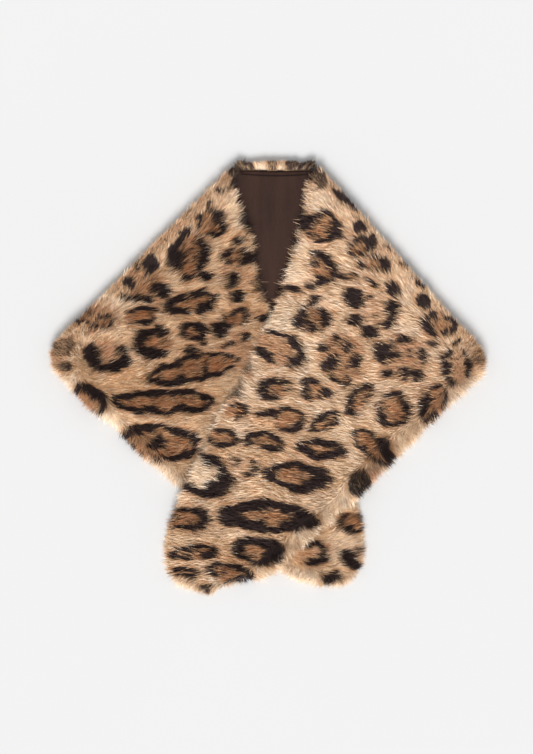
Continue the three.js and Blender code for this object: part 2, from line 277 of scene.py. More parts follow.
RIGHT_ROSETTES = [
    Rosette(341, 381, 10, 6, 0, 5, (270,), ((90, 60),)),
    Rosette(322, 229, 20, 16, -10, 7, (-10, 150), (215,)),
    Rosette(361, 247, 17, 9, 30, 5, (30,)),
    Rosette(377, 264, 13, 9, -10, 5, (0,), ((180, 50),)),
    Rosette(322, 268, 18, 13, -60, 6, (70, 0), ((180, 60),)),
    Rosette(347, 277, 12, 5, 10, 4, (), (-40,)),
    Rosette(312, 320, 20, 13, -5, 9, (180, 0), ((90, 35), (225, NARROW_GAP), (315, NARROW_GAP))),
    Rosette(438, 326, 18, 11, -5, 6, (180,), (90, 270)),
    Rosette(280, 349, 26, 17, -25, 7, (-20,), (150, (260, 30)), 0.65),
    Rosette(455, 367, 19, 16, -80, 6, (180, 0), (90, 300), 0.5),
    Rosette(272, 388, 14, 11, 0, 7, (180,), ((0, 60),)),
    Rosette(313, 389, 14, 11, -20, 7, (170,), ((30, 30), 280)),
    Rosette(358, 400, 20, 9, 52, 6, (200,), ((300, 40),)),
    Rosette(392, 411, 18, 15, 90, 7, (180,), ((120, NARROW_GAP),)),
    Rosette(432, 403, 20, 12, 60, 7, (180,), (300,)),
    Rosette(288, 419, 17, 13, 10, 6, (), (200,)),
    Rosette(323, 421, 15, 8, 38, 6, (140,), ((250, NARROW_GAP),)),
    Rosette(264, 440, 20, 9, -15, 6, (150, -10), (220,)),
    Rosette(319, 448, 26, 10, -8, 6, (180, -25)),
    Rosette(372, 447, 27, 12, -38, 6, (0,)),
    Rosette(298, 476, 33, 16, -8, 10, (-10,)),
    Rosette(236, 411, 13, 9, 0, 6, (-10,), ((180, 70),)),
    Rosette(222, 438, 16, 10, -15, 5, (290,), (150,)),
    Rosette(203, 474, 31, 22, -20, 11, (-30,), ((150, 60),), 0),
    Rosette(188, 518, 24, 13, 0, 5, (0, 270), ((180, 40),)),
    Rosette(268, 515, 49, 16, -6, 9, (180, 0)),
    Rosette(259, 549, 27, 14, -5, 8, (0,)),
    Rosette(194, 552, 25, 8, 8, 6, (20, 190), ((280, 50),)),
    Rosette(184, 572, 15, 5, 0, 4, (0,)),
    Rosette(231, 572, 25, 10, -15, 6, (-10,), (220,)),
]
BROWN_PATCHES = [
    Patch(342, 358, 23, 25, 0.75), Patch(402, 358, 26, 23, 0.6), Patch(374, 308, 17, 18, 0.3),
    Patch(145, 281, 20, 17, 0.8), Patch(438, 325, 20, 14, 0.8), Patch(96, 318, 22, 14, 0.8),
    Patch(350, 236, 12, 8, 0.4), Patch(240, 190, 12, 8, 0.3), Patch(236, 275, 16, 24, 0.35),
    Patch(243, 350, 12, 20, 0.4), Patch(375, 480, 12, 12, 0.5), Patch(430, 400, 16, 18, 0.6),
    Patch(56, 355, 12, 16, 0.5),
]
CREAM_PATCHES = [
    Cream(78, 376, 5, 9, 0.5), Cream(110, 332, 12, 6, 0.5), Cream(218, 276, 6, 10, 0.4),
    Cream(132, 352, 6, 10, 0.4), Cream(238, 208, 12, 22, 0.9), Cream(132, 304, 20, 7, 0.6),
    Cream(172, 278, 8, 8, 0.5), Cream(272, 322, 11, 11, 0.9), Cream(251, 362, 8, 9, 0.8),
    Cream(243, 392, 8, 12, 0.6), Cream(316, 200, 14, 11, 0.9), Cream(301, 250, 8, 9, 0.9),
    Cream(294, 274, 12, 12, 1.0), Cream(282, 319, 10, 9, 0.7), Cream(322, 303, 14, 7, 0.5),
    Cream(408, 330, 14, 6, 0.5), Cream(306, 346, 10, 8, 0.4), Cream(455, 395, 9, 8, 0.8),
    Cream(203, 472, 12, 12, 1.0), Cream(350, 496, 18, 13, 0.8), Cream(298, 578, 24, 9, 1.0),
    Cream(342, 548, 10, 18, 0.8), Cream(358, 545, 8, 12, 0.6), Cream(302, 534, 9, 8, 0.5),
    Cream(108, 422, 14, 8, 0.8), Cream(240, 430, 10, 6, 0.4), Cream(212, 430, 6, 10, 0.5),
    Cream(240, 536, 30, 4, 0.4), Cream(170, 355, 8, 6, 0.3), Cream(245, 495, 12, 4, 0.4),
    Cream(180, 590, 16, 6, 0.5), Cream(400, 432, 10, 8, 0.5),
]
RIM_SPOTS = [Spot(238, 165, 15, 12, 0, 0.62), Spot(273, 165, 5, 12, 0, 0.52), Spot(305, 166, 18, 12, 0, 0.66)]

# Pile
STRANDS_PER_PIECE = 99000
STRAND_CORNERS = 4  # the root, two near the middle and the tip
GUARD_FROM = 0.84  # share of strands that are down rather than guard hairs
GUARD_PALER = 0.5
GUARD_BRIGHTER = 1.12
Gather = namedtuple("Gather", "spacing seed pull")  # strands drawn together, in millimetres
GATHERS = (Gather(2.2, 43, 0.35), Gather(4.6, 41, 0.25), Gather(11.0, 42, 0.15))  # lock, clump, tuft
LOWEST_STRAND = 0.3  # above the table
SINK = 4  # how deep strands may sink towards what lies under the upper front
BAKE_FOOTPRINT = (1.2, 1.5)
GROWING_VALUES = ("comb", "growth", "ragged", "reach", "edge_tint_and_painted_shade")

# The stage, in metres and degrees
PICTURE = (533, 754)
SENSOR_HEIGHT = 36
CAMERA_DISTANCE = 2.5
FLOOR_REACH = 6.0
ROOM_STRENGTH = 0.51
KEY_STRENGTH = 2.6
KEY_ANGLE = 26
KEY_PLACE = (-0.3, -3.2, 3.4)


# Reading a colour that is written the way screens show it
def linear_colour(hex_colour):
    parts = [int(hex_colour[i:i + 2], 16) / 255 for i in (1, 3, 5)]
    linear = [c / 12.92 if c <= 0.04045 else ((c + 0.055) / 1.055) ** 2.4 for c in parts]
    return (*linear, 1.0)


def size_property(name, description, millimetres):
    return bpy.props.FloatProperty(
        name=name, description=description, default=millimetres * MM, min=0, unit="LENGTH"
    )


def colour_property(name, description, hex_colour):
    return bpy.props.FloatVectorProperty(
        name=name, description=description, default=linear_colour(hex_colour), size=4, min=0, max=1,
        subtype="COLOR",
    )


class WrapSizes(bpy.types.PropertyGroup):
    """Sizes of the pile and the stitching"""

    strand_length: size_property("Strand length", "Length of a pile fibre from backing to tip", 18)
    strand_width: size_property("Strand width", "Width of a drawn lock of fibres at its middle", 0.56)
    stitch_length: size_property("Stitch length", "Length of one stitch on the neck band", 2.6)
    stitch_width: size_property("Stitch width", "Thickness of the sewing thread", 0.35)
    splay: bpy.props.FloatProperty(
        name="Splay", description="How far strands stray from the combed direction", default=0.15, min=0,
        max=1, subtype="FACTOR",
    )
    density: bpy.props.FloatProperty(
        name="Strands per square centimetre", description="Strands that grow where the pile shows",
        default=182, min=1,
    )


class WrapColours(bpy.types.PropertyGroup):
    """Colours of the pile, the lining and the floor"""

    ground: colour_property("Ground", "Tan ground of the coat", "#f6d0a3")
    cream: colour_property("Cream", "Pale tips in the ground", "#ffeed8")
    core: colour_property("Rosette core", "Brown inside a rosette", "#ca8f5f")
    blotch: colour_property("Blotch", "Near black of spots and rings", "#463633")
    lining: colour_property("Lining", "Dark brown satin", "#3b261e")
    band: colour_property("Neck band", "Shaded satin of the pressed band", "#3c2923")
    thread: colour_property("Thread", "Sewing thread", "#2b1f1b")
    floor: colour_property("Floor", "Pale floor", "#e9e9e9")


# Rises from 0 at an edge to 1 at the given distance from it, as a quarter circle does
def rounded(distance, reach):
    still_open = 1 - np.clip(np.asarray(distance, float) / reach, 0, 1)
    return np.sqrt(1 - still_open * still_open)


def smoothstep(value, low, high):
    part = np.clip((np.asarray(value, float) - low) / (high - low), 0, 1)
    return part * part * (3 - 2 * part)


def mix(a, b, share):
    return a + (b - a) * share


def unit(vectors):
    return vectors / np.maximum(np.linalg.norm(vectors, axis=-1, keepdims=True), 1e-9)


# Smooth noise from 0 to 1 on a seeded lattice, with cells of the given size in millimetres
def soft_noise(x, y, cell, seed):
    lattice = np.random.default_rng(seed).random((128, 128))
    u = np.asarray(x, float) / cell + 640.37
    v = np.asarray(y, float) / cell + 640.71
    column = np.floor(u).astype(int)
    row = np.floor(v).astype(int)
    s = smoothstep(u - column, 0, 1)
    t = smoothstep(v - row, 0, 1)
    corner = lambda right, up: lattice[(row + up) % 128, (column + right) % 128]
    low = mix(corner(0, 0), corner(1, 0), s)
    high = mix(corner(0, 1), corner(1, 1), s)
    return mix(low, high, t)


# Sum of noises that swing evenly about 0
def wavering(x, y, *noises):
    return sum(noise.swing * (soft_noise(x, y, noise.cell, noise.seed) - 0.5) for noise in noises)


# A point on a centripetal spline through the given points, at shares of its whole run
def curve_points(points, shares):
    points = [np.array(p, float) for p in points]
    padded = [2 * points[0] - points[1], *points, 2 * points[-1] - points[-2]]
    result = []
    for share in shares:
        place = share * (len(points) - 1)
        first = min(int(place), len(points) - 2)
        part = place - first
        p0, p1, p2, p3 = padded[first:first + 4]
        d0, d1, d2 = (math.sqrt(np.linalg.norm(b - a)) for a, b in ((p0, p1), (p1, p2), (p2, p3)))
        t1 = ((p1 - p0) / d0 - (p2 - p0) / (d0 + d1) + (p2 - p1) / d1) * d1
        t2 = ((p2 - p1) / d1 - (p3 - p1) / (d1 + d2) + (p3 - p2) / d2) * d1
        square = -3 * p1 + 3 * p2 - 2 * t1 - t2
        cube = 2 * p1 - 2 * p2 + t1 + t2
        result.append(p1 + t1 * part + square * part ** 2 + cube * part ** 3)
    return np.array(result)


def edges_of(sections, shares):
    inner = curve_points([(s.inner_x, s.inner_y) for s in sections], shares)
    outer = curve_points([(s.outer_x, s.outer_y) for s in sections], shares)
    return inner, outer


def inner_length(sections):
    inner, _ = edges_of(sections, np.linspace(0, 1, 80))
    return np.linalg.norm(np.diff(inner, axis=0), axis=1).sum()


# Height of a front's underside over the back, and past its edge down to the surface
def over_back(x, y):
    past = np.hypot(x - BACK_CENTRE[0], y - BACK_CENTRE[1]) - BACK_RADIUS
    return (LINING_TOP + GAP) * (1 - smoothstep(past, 2, LEAVE_BACK))


# Heights on a regular grid, read back smoothly between its points
class HeightField:
    def __init__(self, low, high, step, height):
        self.low = low
        self.step = step
        self.xs = np.arange(low[0], high[0] + step, step)
        self.ys = np.arange(low[1], high[1] + step, step)
        grid_x, grid_y = np.meshgrid(self.xs, self.ys)
        self.heights = height(grid_x, grid_y)

    def __call__(self, x, y):
        u = np.clip((np.asarray(x, float) - self.low[0]) / self.step, 0, len(self.xs) - 1.001)
        v = np.clip((np.asarray(y, float) - self.low[1]) / self.step, 0, len(self.ys) - 1.001)
        column = u.astype(int)
        row = v.astype(int)
        s = u - column
        t = v - row
        low = mix(self.heights[row, column], self.heights[row, column + 1], s)
        high = mix(self.heights[row + 1, column], self.heights[row + 1, column + 1], s)
        return mix(low, high, t)


# Height that clears the under front: each of its upper points moved out and sloped off
def over_front_field():
    rows = np.linspace(0, 1, 91)
    inner, outer = edges_of(LEFT_SECTIONS, rows)
    width = np.linalg.norm(outer - inner, axis=1)[:, None]
    across = np.linspace(0, 1, 61)[None, :]
    place = inner[:, None, :] + (outer - inner)[:, None, :] * across[..., None]
    from_edge = np.minimum(across, 1 - across) * width
    from_tip = (1 - rows)[:, None] * inner_length(LEFT_SECTIONS)
    reach = np.minimum(EDGE_ROUND, width * NARROWEST_ROUND_SHARE)
    fullness = rounded(from_edge, reach) * rounded(from_tip + TIP_BLUNTNESS, TIP_ROUND)
    base = over_back(place[..., 0], place[..., 1])
    top = (base + FUR_WALL * mix(EDGE_THICKNESS_SHARE, 1, fullness)).ravel()
    place = place.reshape(-1, 2)

    def height(x, y):
        result = over_back(x, y)
        for row in range(x.shape[0]):
            dx = x[row][:, None] - place[None, :, 0]
            dy = y[row][:, None] - place[None, :, 1]
            distance = np.maximum(np.hypot(dx, dy) - DRAPE_REACH, 0)
            cover = (top[None, :] + DRAPE_CLEARANCE - DRAPE_SLOPE * distance).max(axis=1)
            result[row] = np.maximum(result[row], cover)
        return result

    return HeightField((-170, -320), (320, 300), 4, height)


# Distance inside a front's outline, positive inside it
def depth_inside(sections, x, y):
    inner, outer = edges_of(sections, np.linspace(0, 1, 60))
    outline = np.vstack([inner, outer[::-1]])
    nearest = np.full(np.shape(x), np.inf)
    inside = np.zeros(np.shape(x), bool)
    for (ax, ay), (bx, by) in zip(outline, np.roll(outline, -1, axis=0)):
        run_x, run_y = bx - ax, by - ay
        length = max(run_x * run_x + run_y * run_y, 1e-9)
        share = np.clip(((x - ax) * run_x + (y - ay) * run_y) / length, 0, 1)
        nearest = np.minimum(nearest, np.hypot(x - ax - share * run_x, y - ay - share * run_y))
        if ay != by:
            crosses = ((y < ay) != (y < by)) & (x < run_x * (y - ay) / run_y + ax)
            inside ^= crosses
    return np.where(inside, nearest, -nearest)


# Neck edge and outer arc of the back, at shares from its left side to its right side
def back_edges(shares):
    ends = []
    for section, side in ((LEFT_SECTIONS[0], 1), (RIGHT_SECTIONS[0], -1)):
        inner = np.array([section.inner_x, section.inner_y], float)
        outer = np.array([section.outer_x, section.outer_y], float)
        along = unit(inner - outer)
        inward = np.array([along[1], -along[0]]) * side
        ends.append((inner + along * NECK_REACH + inward * GAP, outer + inward * GAP))
    (left_neck, left_outer), (right_neck, right_outer) = ends
    angle_of = lambda p: math.atan2(p[1] - BACK_CENTRE[1], p[0] - BACK_CENTRE[0])
    radius_of = lambda p: math.hypot(p[0] - BACK_CENTRE[0], p[1] - BACK_CENTRE[1])
    shares = np.asarray(shares, float)
    angle = mix(angle_of(left_outer), angle_of(right_outer), shares)
    end_radius = mix(radius_of(left_outer), radius_of(right_outer), shares)
    radius = mix(end_radius, BACK_RADIUS, smoothstep(np.minimum(shares, 1 - shares), 0, CORNER_SHARE))
    neck = left_neck + (right_neck - left_neck) * shares[:, None]
    neck[:, 1] += NECK_BOW * np.sin(np.pi * shares)
    outer = np.stack(
        [BACK_CENTRE[0] + radius * np.cos(angle), BACK_CENTRE[1] + radius * np.sin(angle)], axis=1
    )
    rim_width = mix(RIM_WIDTH_AT_FOLD, RIM_WIDTH_AT_MIDDLE, np.sin(np.pi * shares))
    return neck, outer, rim_width


# A closed shell between an upper and a lower grid of points, both (row, column, 3).
# Returns the mesh; its vertices are the upper grid and then the lower one.
def shell_mesh(name, upper, lower):
    rows, columns = upper.shape[:2]
    points = np.concatenate([upper.reshape(-1, 3), lower.reshape(-1, 3)]) * MM
    top = np.arange(rows * columns).reshape(rows, columns)
    bottom = top + rows * columns
    faces = [
        np.stack([top[:-1, :-1], top[1:, :-1], top[1:, 1:], top[:-1, 1:]], -1).reshape(-1, 4),
        np.stack([bottom[:-1, :-1], bottom[:-1, 1:], bottom[1:, 1:], bottom[1:, :-1]], -1).reshape(-1, 4),
        np.stack([top[:-1, 0], bottom[:-1, 0], bottom[1:, 0], top[1:, 0]], -1),
        np.stack([top[:-1, -1], top[1:, -1], bottom[1:, -1], bottom[:-1, -1]], -1),
        np.stack([top[0, :-1], top[0, 1:], bottom[0, 1:], bottom[0, :-1]], -1),
        np.stack([top[-1, :-1], bottom[-1, :-1], bottom[-1, 1:], top[-1, 1:]], -1),
    ]
    faces = np.concatenate(faces)
    a, b, c = (points[faces[:, i]] for i in range(3))
    if (a * np.cross(b, c)).sum() < 0:
        faces = faces[:, ::-1]
    mesh = bpy.data.meshes.new(name)
    mesh.from_pydata(points.tolist(), [], faces.tolist())
    mesh.validate()
    mesh.shade_smooth()
    return mesh


def add_piece(name, mesh):
    piece = bpy.data.objects.new(name, mesh)
    bpy.context.scene.collection.objects.link(piece)
    return piece


# Writes one number, or one row of three, for each vertex
def write_values(mesh, name, values):
    values = np.ascontiguousarray(values, np.float32)
    kind, field = ("FLOAT", "value") if values.ndim == 1 else ("FLOAT_VECTOR", "vector")
    attribute = mesh.attributes.get(name) or mesh.attributes.new(name, kind, "POINT")
    attribute.data.foreach_set(field, values.ravel())


# Writes what the upper grid of a shell has and then what its lower one has
def write_sides(mesh, name, upper, lower, width=1):
    values = np.concatenate([upper.ravel(), lower.ravel()])
    write_values(mesh, name, values if width == 1 else values.reshape(-1, width))


def read_values(mesh, name, width):
    values = np.empty(len(mesh.vertices) * width, np.float32)
    field = "value" if width == 1 else "vector"
    mesh.attributes[name].data.foreach_get(field, values)
    return values.reshape(-1, width) if width > 1 else values


def places_of(mesh):
    coordinates = np.empty(len(mesh.vertices) * 3, np.float32)
    mesh.vertices.foreach_get("co", coordinates)
    return coordinates.reshape(-1, 3) / MM


# How much of a bump of the given half width lies at an angle, 1 at its middle
def angle_bump(angle, middle, half_width):
    apart = np.abs((angle - math.radians(middle) + np.pi) % (2 * np.pi) - np.pi)
    return 1 - smoothstep(apart, 0.35 * math.radians(half_width), math.radians(half_width))


# The coat at places on the table: how dark, brown, near to a marking and pale each place is
def coat_at(x, y, spots, rosettes):
    x, y = x + wavering(x, y, *WARP_ACROSS), y + wavering(x, y, *WARP_ALONG)
    uneven = 0.6 + 0.8 * soft_noise(x, y, 9, 15)
    dark = np.zeros_like(x)
    brown = np.zeros_like(x)
    near = np.zeros_like(x)
    cream = np.zeros_like(x)
    for motif in [*spots, *rosettes]:
        dx = x - (motif.x - CHART_MIDDLE[0]) * CHART_UNIT
        dy = y - (CHART_MIDDLE[1] - motif.y) * CHART_UNIT
        tilt = math.radians(getattr(motif, "tilt", 0))
        u = (dx * math.cos(tilt) + dy * math.sin(tilt)) / (motif.long * CHART_UNIT)
        v = (dy * math.cos(tilt) - dx * math.sin(tilt)) / (motif.short * CHART_UNIT)
        radial = np.maximum(np.hypot(u, v), 1e-6)
        slope = np.hypot(u / motif.long, v / motif.short) / CHART_UNIT
        inward = (1 - radial) * radial / np.maximum(slope, 1e-9)
        if isinstance(motif, Patch):
            brown = np.maximum(brown, smoothstep(inward, -5, 6) * motif.core)
            continue
        if isinstance(motif, Cream):
            cream = np.maximum(cream, smoothstep(inward, -5, 6) * motif.depth)
            continue
        if isinstance(motif, Spot):
            dark = np.maximum(dark, smoothstep(inward, -1.4, 1.2) * motif.depth)
            near = np.maximum(near, smoothstep(inward, -HALO, 0))
            continue
        angle = np.arctan2(dy, dx)
        width = motif.ring * CHART_UNIT * RING_SHARE * uneven
        for middle in motif.thick:
            width = width * (1 + 0.7 * angle_bump(angle, middle, 60))
        present = np.ones_like(x)
        for gap in motif.gaps:
            middle, half_width = gap if isinstance(gap, tuple) else (gap, GAP_HALF_ANGLE)
            present = present * (1 - angle_bump(angle, middle, half_width * 1.25))
        width = width * present
        ring = smoothstep(inward, -1.4, 1.2) * smoothstep(width - inward, -1.3, 1.3)
        dark = np.maximum(dark, ring * smoothstep(present, 0.1, 0.45))
        inside = smoothstep(inward, 0, 4)
        brown = np.maximum(brown, inside * motif.core)
        halo = smoothstep(inward, -HALO, 0) * (0.35 + 0.65 * present)
        near = np.maximum(near, halo * mix(1, motif.core, smoothstep(inward, 1, 6)))
    return dark, brown, near, cream


# Rosettes for the panel that faces the table, spread evenly with a fixed seed
def hidden_rosettes():
    chance = np.random.default_rng(7)
    motifs = []
    for row in range(12):
        for column in range(16):
            motifs.append(
                Rosette(
                    column * 30 + 30 + chance.uniform(-6, 6) + 15 * (row % 2),
                    row * 30 + 150 + chance.uniform(-6, 6),
                    chance.uniform(10, 15),
                    chance.uniform(7, 11),
                    chance.uniform(-40, 40),
                    chance.uniform(4, 6),
                    (chance.uniform(0, 360),),
                    ((chance.uniform(0, 360), 40),),
                )
            )
    return motifs


def build_front_backing(name, sections, underside, nap, fringe):
    """The cloth backing of a front as a closed shell, with what its pile needs at each point."""
    roll_angles = np.linspace(-math.pi / 2, math.pi / 2, ROLL_ROWS + 1)[:-1]
    rows = np.linspace(0, 1 - TIP_INSET_SHARE, FRONT_ROWS)
    shares = np.concatenate([np.zeros(ROLL_ROWS), rows])
    inner, outer = edges_of(sections, shares)
    width = np.linalg.norm(outer - inner, axis=1)
    length = inner_length(sections)
    strip_run = shares * length
    past_shoulder = smoothstep(strip_run, *SHOULDER_RUN)
    beside_neck = past_shoulder * (1 - smoothstep(strip_run, *NECK_RUN))
    inner_inset = mix(SHOULDER_INSET, fringe.tail, past_shoulder)
    inner_inset = inner_inset + (fringe.neck - fringe.tail) * beside_neck
    inner_inset = np.minimum(inner_inset, width * MOST_INNER_INSET) / width
    outer_inset = mix(fringe.outer, fringe.tip, smoothstep(shares, *TIP_SHARES))
    outer_inset = mix(OUTER_SHOULDER_INSET, outer_inset, smoothstep(strip_run, *OUTER_SHOULDER_RUN))
    outer_inset = np.minimum(outer_inset, width * MOST_OUTER_INSET) / width
    across = np.linspace(0, 1, FRONT_COLUMNS)
    eased = mix(across, (1 - np.cos(np.pi * across)) / 2, 0.6)
    share_across = inner_inset[:, None] + (1 - inner_inset - outer_inset)[:, None] * eased[None, :]
    place = inner[:, None, :] + (outer - inner)[:, None, :] * share_across[..., None]
    x = place[..., 0]
    y = place[..., 1]
    from_own_inner = (share_across - inner_inset[:, None]) * width[:, None]
    from_own_outer = (1 - outer_inset[:, None] - share_across) * width[:, None]
    from_edge = np.minimum(from_own_inner, from_own_outer) + 2.0
    from_tip = ((1 - TIP_INSET_SHARE) - shares)[:, None] * length + np.zeros_like(x)
    from_rim = np.minimum(from_edge, from_tip)
    fullness = rounded(from_edge, BACKING_EDGE_ROUND) * rounded(from_tip + 2, 12)
    base = underside(x, y)
    waves = wavering(x, y, *BACKING_WAVES)
    top_height = base + mix(BACKING_LOW + BACKING_WALL, BACKING_TOP, fullness) + waves * fullness
    low_height = base + BACKING_LOW
    upper = np.stack([x, y, top_height], -1)
    lower = np.stack([x, y, low_height], -1)

    # The half turn at the shoulder runs round the first row
    along_fold = unit(inner[0] - outer[0])
    outward = np.array([-along_fold[1], along_fold[0]])
    outward = outward if outward[1] > 0 else -outward
    for row, angle in enumerate(roll_angles):
        side = math.cos(angle)
        rise = math.sin(angle)
        outer_radius = (BACKING_TOP + GAP) * mix(0.5, 1, rounded(from_edge[row], BACKING_EDGE_ROUND))
        for grid, radius in ((upper, outer_radius), (lower, np.full(FRONT_COLUMNS, GAP + BACKING_LOW))):
            grid[row, :, 0] = place[row, :, 0] + outward[0] * radius * side
            grid[row, :, 1] = place[row, :, 1] + outward[1] * radius * side
            grid[row, :, 2] = LINING_TOP + radius * rise

    mesh = shell_mesh(name, upper, lower)

    # Combing: the nap in the middle, along the fold near the shoulder, outwards at the edges
    fold_distance = np.abs((x - inner[0, 0]) * outward[0] + (y - inner[0, 1]) * outward[1])
    from_outer = (1 - share_across) * width[:, None]
    from_inner = share_across * width[:, None]
    run = unit(np.gradient(inner + outer, axis=0) + 1e-9)
    run[:ROLL_ROWS + 1] = run[ROLL_ROWS + 1]
    across_way = unit(outer - inner)
    outer_way = unit(across_way + 0.15 * run)[:, None, :]
    comb = np.broadcast_to(np.array([nap[0], 0.0]), place.shape).copy()
    comb[..., 1] = nap[1] * mix(LOW_NAP_SHARE, 1, smoothstep(y, *NAP_HEIGHTS))
    to_neck = along_fold * 0.92 + outward * 0.25
    near_fold = 1 - smoothstep(fold_distance, *ALONG_FOLD)
    comb = mix(comb, to_neck, near_fold[..., None])
    near_inner = (1 - smoothstep(from_inner, *ALONG_INNER)) * smoothstep(fold_distance, 1, 10)
    comb = mix(comb, np.array([nap[0], 0.1]), 0.9 * near_inner[..., None])
    parting = wavering(x, y, PARTING)
    near_outer = 1 - smoothstep(from_outer + parting, *ALONG_OUTER)
    comb = mix(comb, outer_way, (near_outer * (1 - 0.5 * near_fold))[..., None])
    near_tip = 1 - smoothstep(from_tip + parting, *ALONG_TIP)
    comb = mix(comb, run[:, None, :] + 0 * comb, near_tip[..., None])
    # At the shoulder corner the pile fans out from a point well inside
    fan_middle = outer[0] + np.array([-math.copysign(fringe.fan, outer[0, 0]), -6])
    fan = (place - fan_middle) / fringe.fan
    fan = fan / np.maximum(np.linalg.norm(fan, axis=-1, keepdims=True), 1)
    from_corner = np.linalg.norm(place - outer[0], axis=-1)
    near_corner = 1 - smoothstep(from_corner, 0.4 * fringe.fan, 1.25 * fringe.fan)
    comb = mix(comb, fan, near_corner[..., None])
    swirl = wavering(x, y, *SWIRLS)
    turned = comb.copy()
    turned[..., 0] = comb[..., 0] * np.cos(swirl) - comb[..., 1] * np.sin(swirl)
    turned[..., 1] = comb[..., 0] * np.sin(swirl) + comb[..., 1] * np.cos(swirl)
    lift = STRAND_LIFT + wavering(x, y, LIFT_NOISE)
    edge_drop = 1 - smoothstep(from_rim, 0, 10)
    comb_top = np.concatenate([turned, (lift * (1 - 0.75 * edge_drop))[..., None]], -1)
    comb_low = np.concatenate([turned, np.full(x.shape + (1,), -0.05)], -1)
    for row, angle in enumerate(roll_angles):
        away = np.array([outward[0] * math.cos(angle), outward[1] * math.cos(angle), math.sin(angle) * 0.6])
        fold_way = np.array([along_fold[0], along_fold[1], 0.0])
        at_corner = near_corner[row][:, None]
        comb_top[row] = fold_way * mix(0.95, -0.3, at_corner) + away * mix(0.42, 0.7, at_corner)
        comb_low[row] = comb_top[row]
    hem_grows = 1 - smoothstep(from_rim, 2, 8)
    hem_grows[:ROLL_ROWS + 1] = 0
    edge_boost = 1 + 0.5 * (1 - smoothstep(from_rim, 0, 12))
    edge_boost[:ROLL_ROWS] = 1.6
    write_sides(mesh, "comb", comb_top, comb_low, 3)
    write_sides(mesh, "growth", edge_boost, hem_grows)
    ragged = 0.5 * (1 - smoothstep(from_rim, 0, 14)) + 0.8 * near_corner
    ragged[:ROLL_ROWS + 2] = FOLD_RAGGED
    write_sides(mesh, "ragged", ragged, np.ones_like(ragged))
    upright = 1 - smoothstep(np.linalg.norm(turned, axis=-1), 0.2, 0.8)
    at_neck = 1 - smoothstep(np.linalg.norm(place - inner[0], axis=-1), 12, 40)
    at_fold = 1 - smoothstep(fold_distance, 2, 20)
    reach = (1 - UPRIGHT_LOSS * upright) * (1 - FOLD_LOSS * at_fold) * (1 - NECK_LOSS * at_neck)
    reach = reach * (1 - TIP_LOSS * near_tip) * (1 - CORNER_LOSS * near_corner)
    neck_hem = smoothstep(y, 80, 100) * smoothstep(strip_run, 8, 40)[:, None]
    neck_hem = neck_hem * (1 - smoothstep(from_own_inner, 2, 9))
    write_sides(mesh, "reach", reach, reach * (1 + NECK_HEM_REACH * neck_hem))
    # Edge tint and painted shade: browner, darker strands in patches along the fold, and paler ones along the
    # outer edge and tip; below, the hem along the neck's edges is dark, painted shade where the pile
    # overhangs the lining together with dark underfur
    edge_tint_and_painted_shade = 0.7 * (1 - smoothstep(fold_distance, 0, 18))
    edge_tint_and_painted_shade = edge_tint_and_painted_shade * smoothstep(soft_noise(x, y, 16, 35), 0.2, 0.6)
    outer_hem = 1 - smoothstep(np.minimum(from_own_outer, from_tip), 0, 12)
    edge_tint_and_painted_shade = edge_tint_and_painted_shade - 0.7 * outer_hem * (1 - near_fold)
    write_sides(mesh, "edge_tint_and_painted_shade", edge_tint_and_painted_shade, np.maximum(edge_tint_and_painted_shade, neck_hem))
    return mesh


def build_back_backing(name):
    """The backing of the back panel: pile down, turned up round the neck edge."""
    shares = np.linspace(0.004, 0.996, BACK_ROWS)
    neck, outer, rim_width = back_edges(shares)
    depth = np.linalg.norm(outer - neck, axis=1)
    rim_inset = mix(2.0, 8.0, np.sin(np.pi * shares))[:, None]
    outer_inset = 9.0
    rim_steps = np.linspace(0, 1, 9)
    distance = np.concatenate(
        [
            rim_inset + (rim_width[:, None] - rim_inset) * rim_steps[None, :],
            rim_width[:, None] + (depth[:, None] - outer_inset - rim_width[:, None])
            * np.linspace(0, 1, BACK_COLUMNS)[None, 1:],
        ],
        axis=1,
    )
    along = (outer - neck) / depth[:, None]
    place = neck[:, None, :] + along[:, None, :] * distance[..., None]
    free = smoothstep(np.minimum(shares, 1 - shares), 0, 0.16)[:, None]
    part = np.clip((distance - rim_inset) / (rim_width[:, None] - rim_inset), 0, 1)
    hump = mix(PRESSED_FUR - 1.5, 9.0, free) * mix(0.45, 1, rounded(part, 0.4))
    in_rim = distance < rim_width[:, None] - 0.01
    upper_height = np.where(in_rim, hump, PRESSED_FUR - 1.0)
    upper = np.concatenate([place, upper_height[..., None]], -1)
    lower = np.concatenate([place, np.full(distance.shape + (1,), 2.6)], -1)
    mesh = shell_mesh(name, upper, lower)
    up_neck = -along[:, None, :] + np.zeros_like(place)
    fanned = np.zeros_like(place)
    fanned[..., 0] = 1.4 * (shares[:, None] - 0.5)
    fanned[..., 1] = 1.0
    comb_top = np.concatenate([fanned, 0.45 - 0.25 * part[..., None]], -1)
    downward = np.zeros(distance.shape + (3,))
    downward[..., 0] = -1.0
    downward[..., 1] = -0.2
    downward[..., 2] = -0.06
    at_neck = 1 - smoothstep(distance, 10, 26)[..., None]
    comb_low = mix(downward, np.concatenate([up_neck, np.zeros(distance.shape + (1,))], -1), at_neck)
    rim_growth = np.where(distance < rim_width[:, None] - 0.2, 4.0, 0.0)
    low_growth = mix(0.16, 1.6, at_neck[..., 0] * (distance < 12))
    write_sides(mesh, "comb", comb_top, comb_low, 3)
    write_sides(mesh, "growth", rim_growth, low_growth)
    sleek_below = mix(-0.95, 0.6, at_neck[..., 0])
    write_sides(mesh, "ragged", np.full_like(rim_growth, RIM_RAGGED), sleek_below)
    reach = mix(1.0, mix(0.75, 0.42, free), at_neck[..., 0])
    write_sides(mesh, "reach", reach, reach)
    write_values(mesh, "edge_tint_and_painted_shade", np.zeros(reach.size * 2))
    return mesh


# Nodes
def find_socket(sockets, key):
    for socket in sockets:
        if socket.enabled and key == socket.identifier:
            return socket
    for socket in sockets:
        if socket.enabled and key == socket.name:
            return socket
    raise KeyError(key)


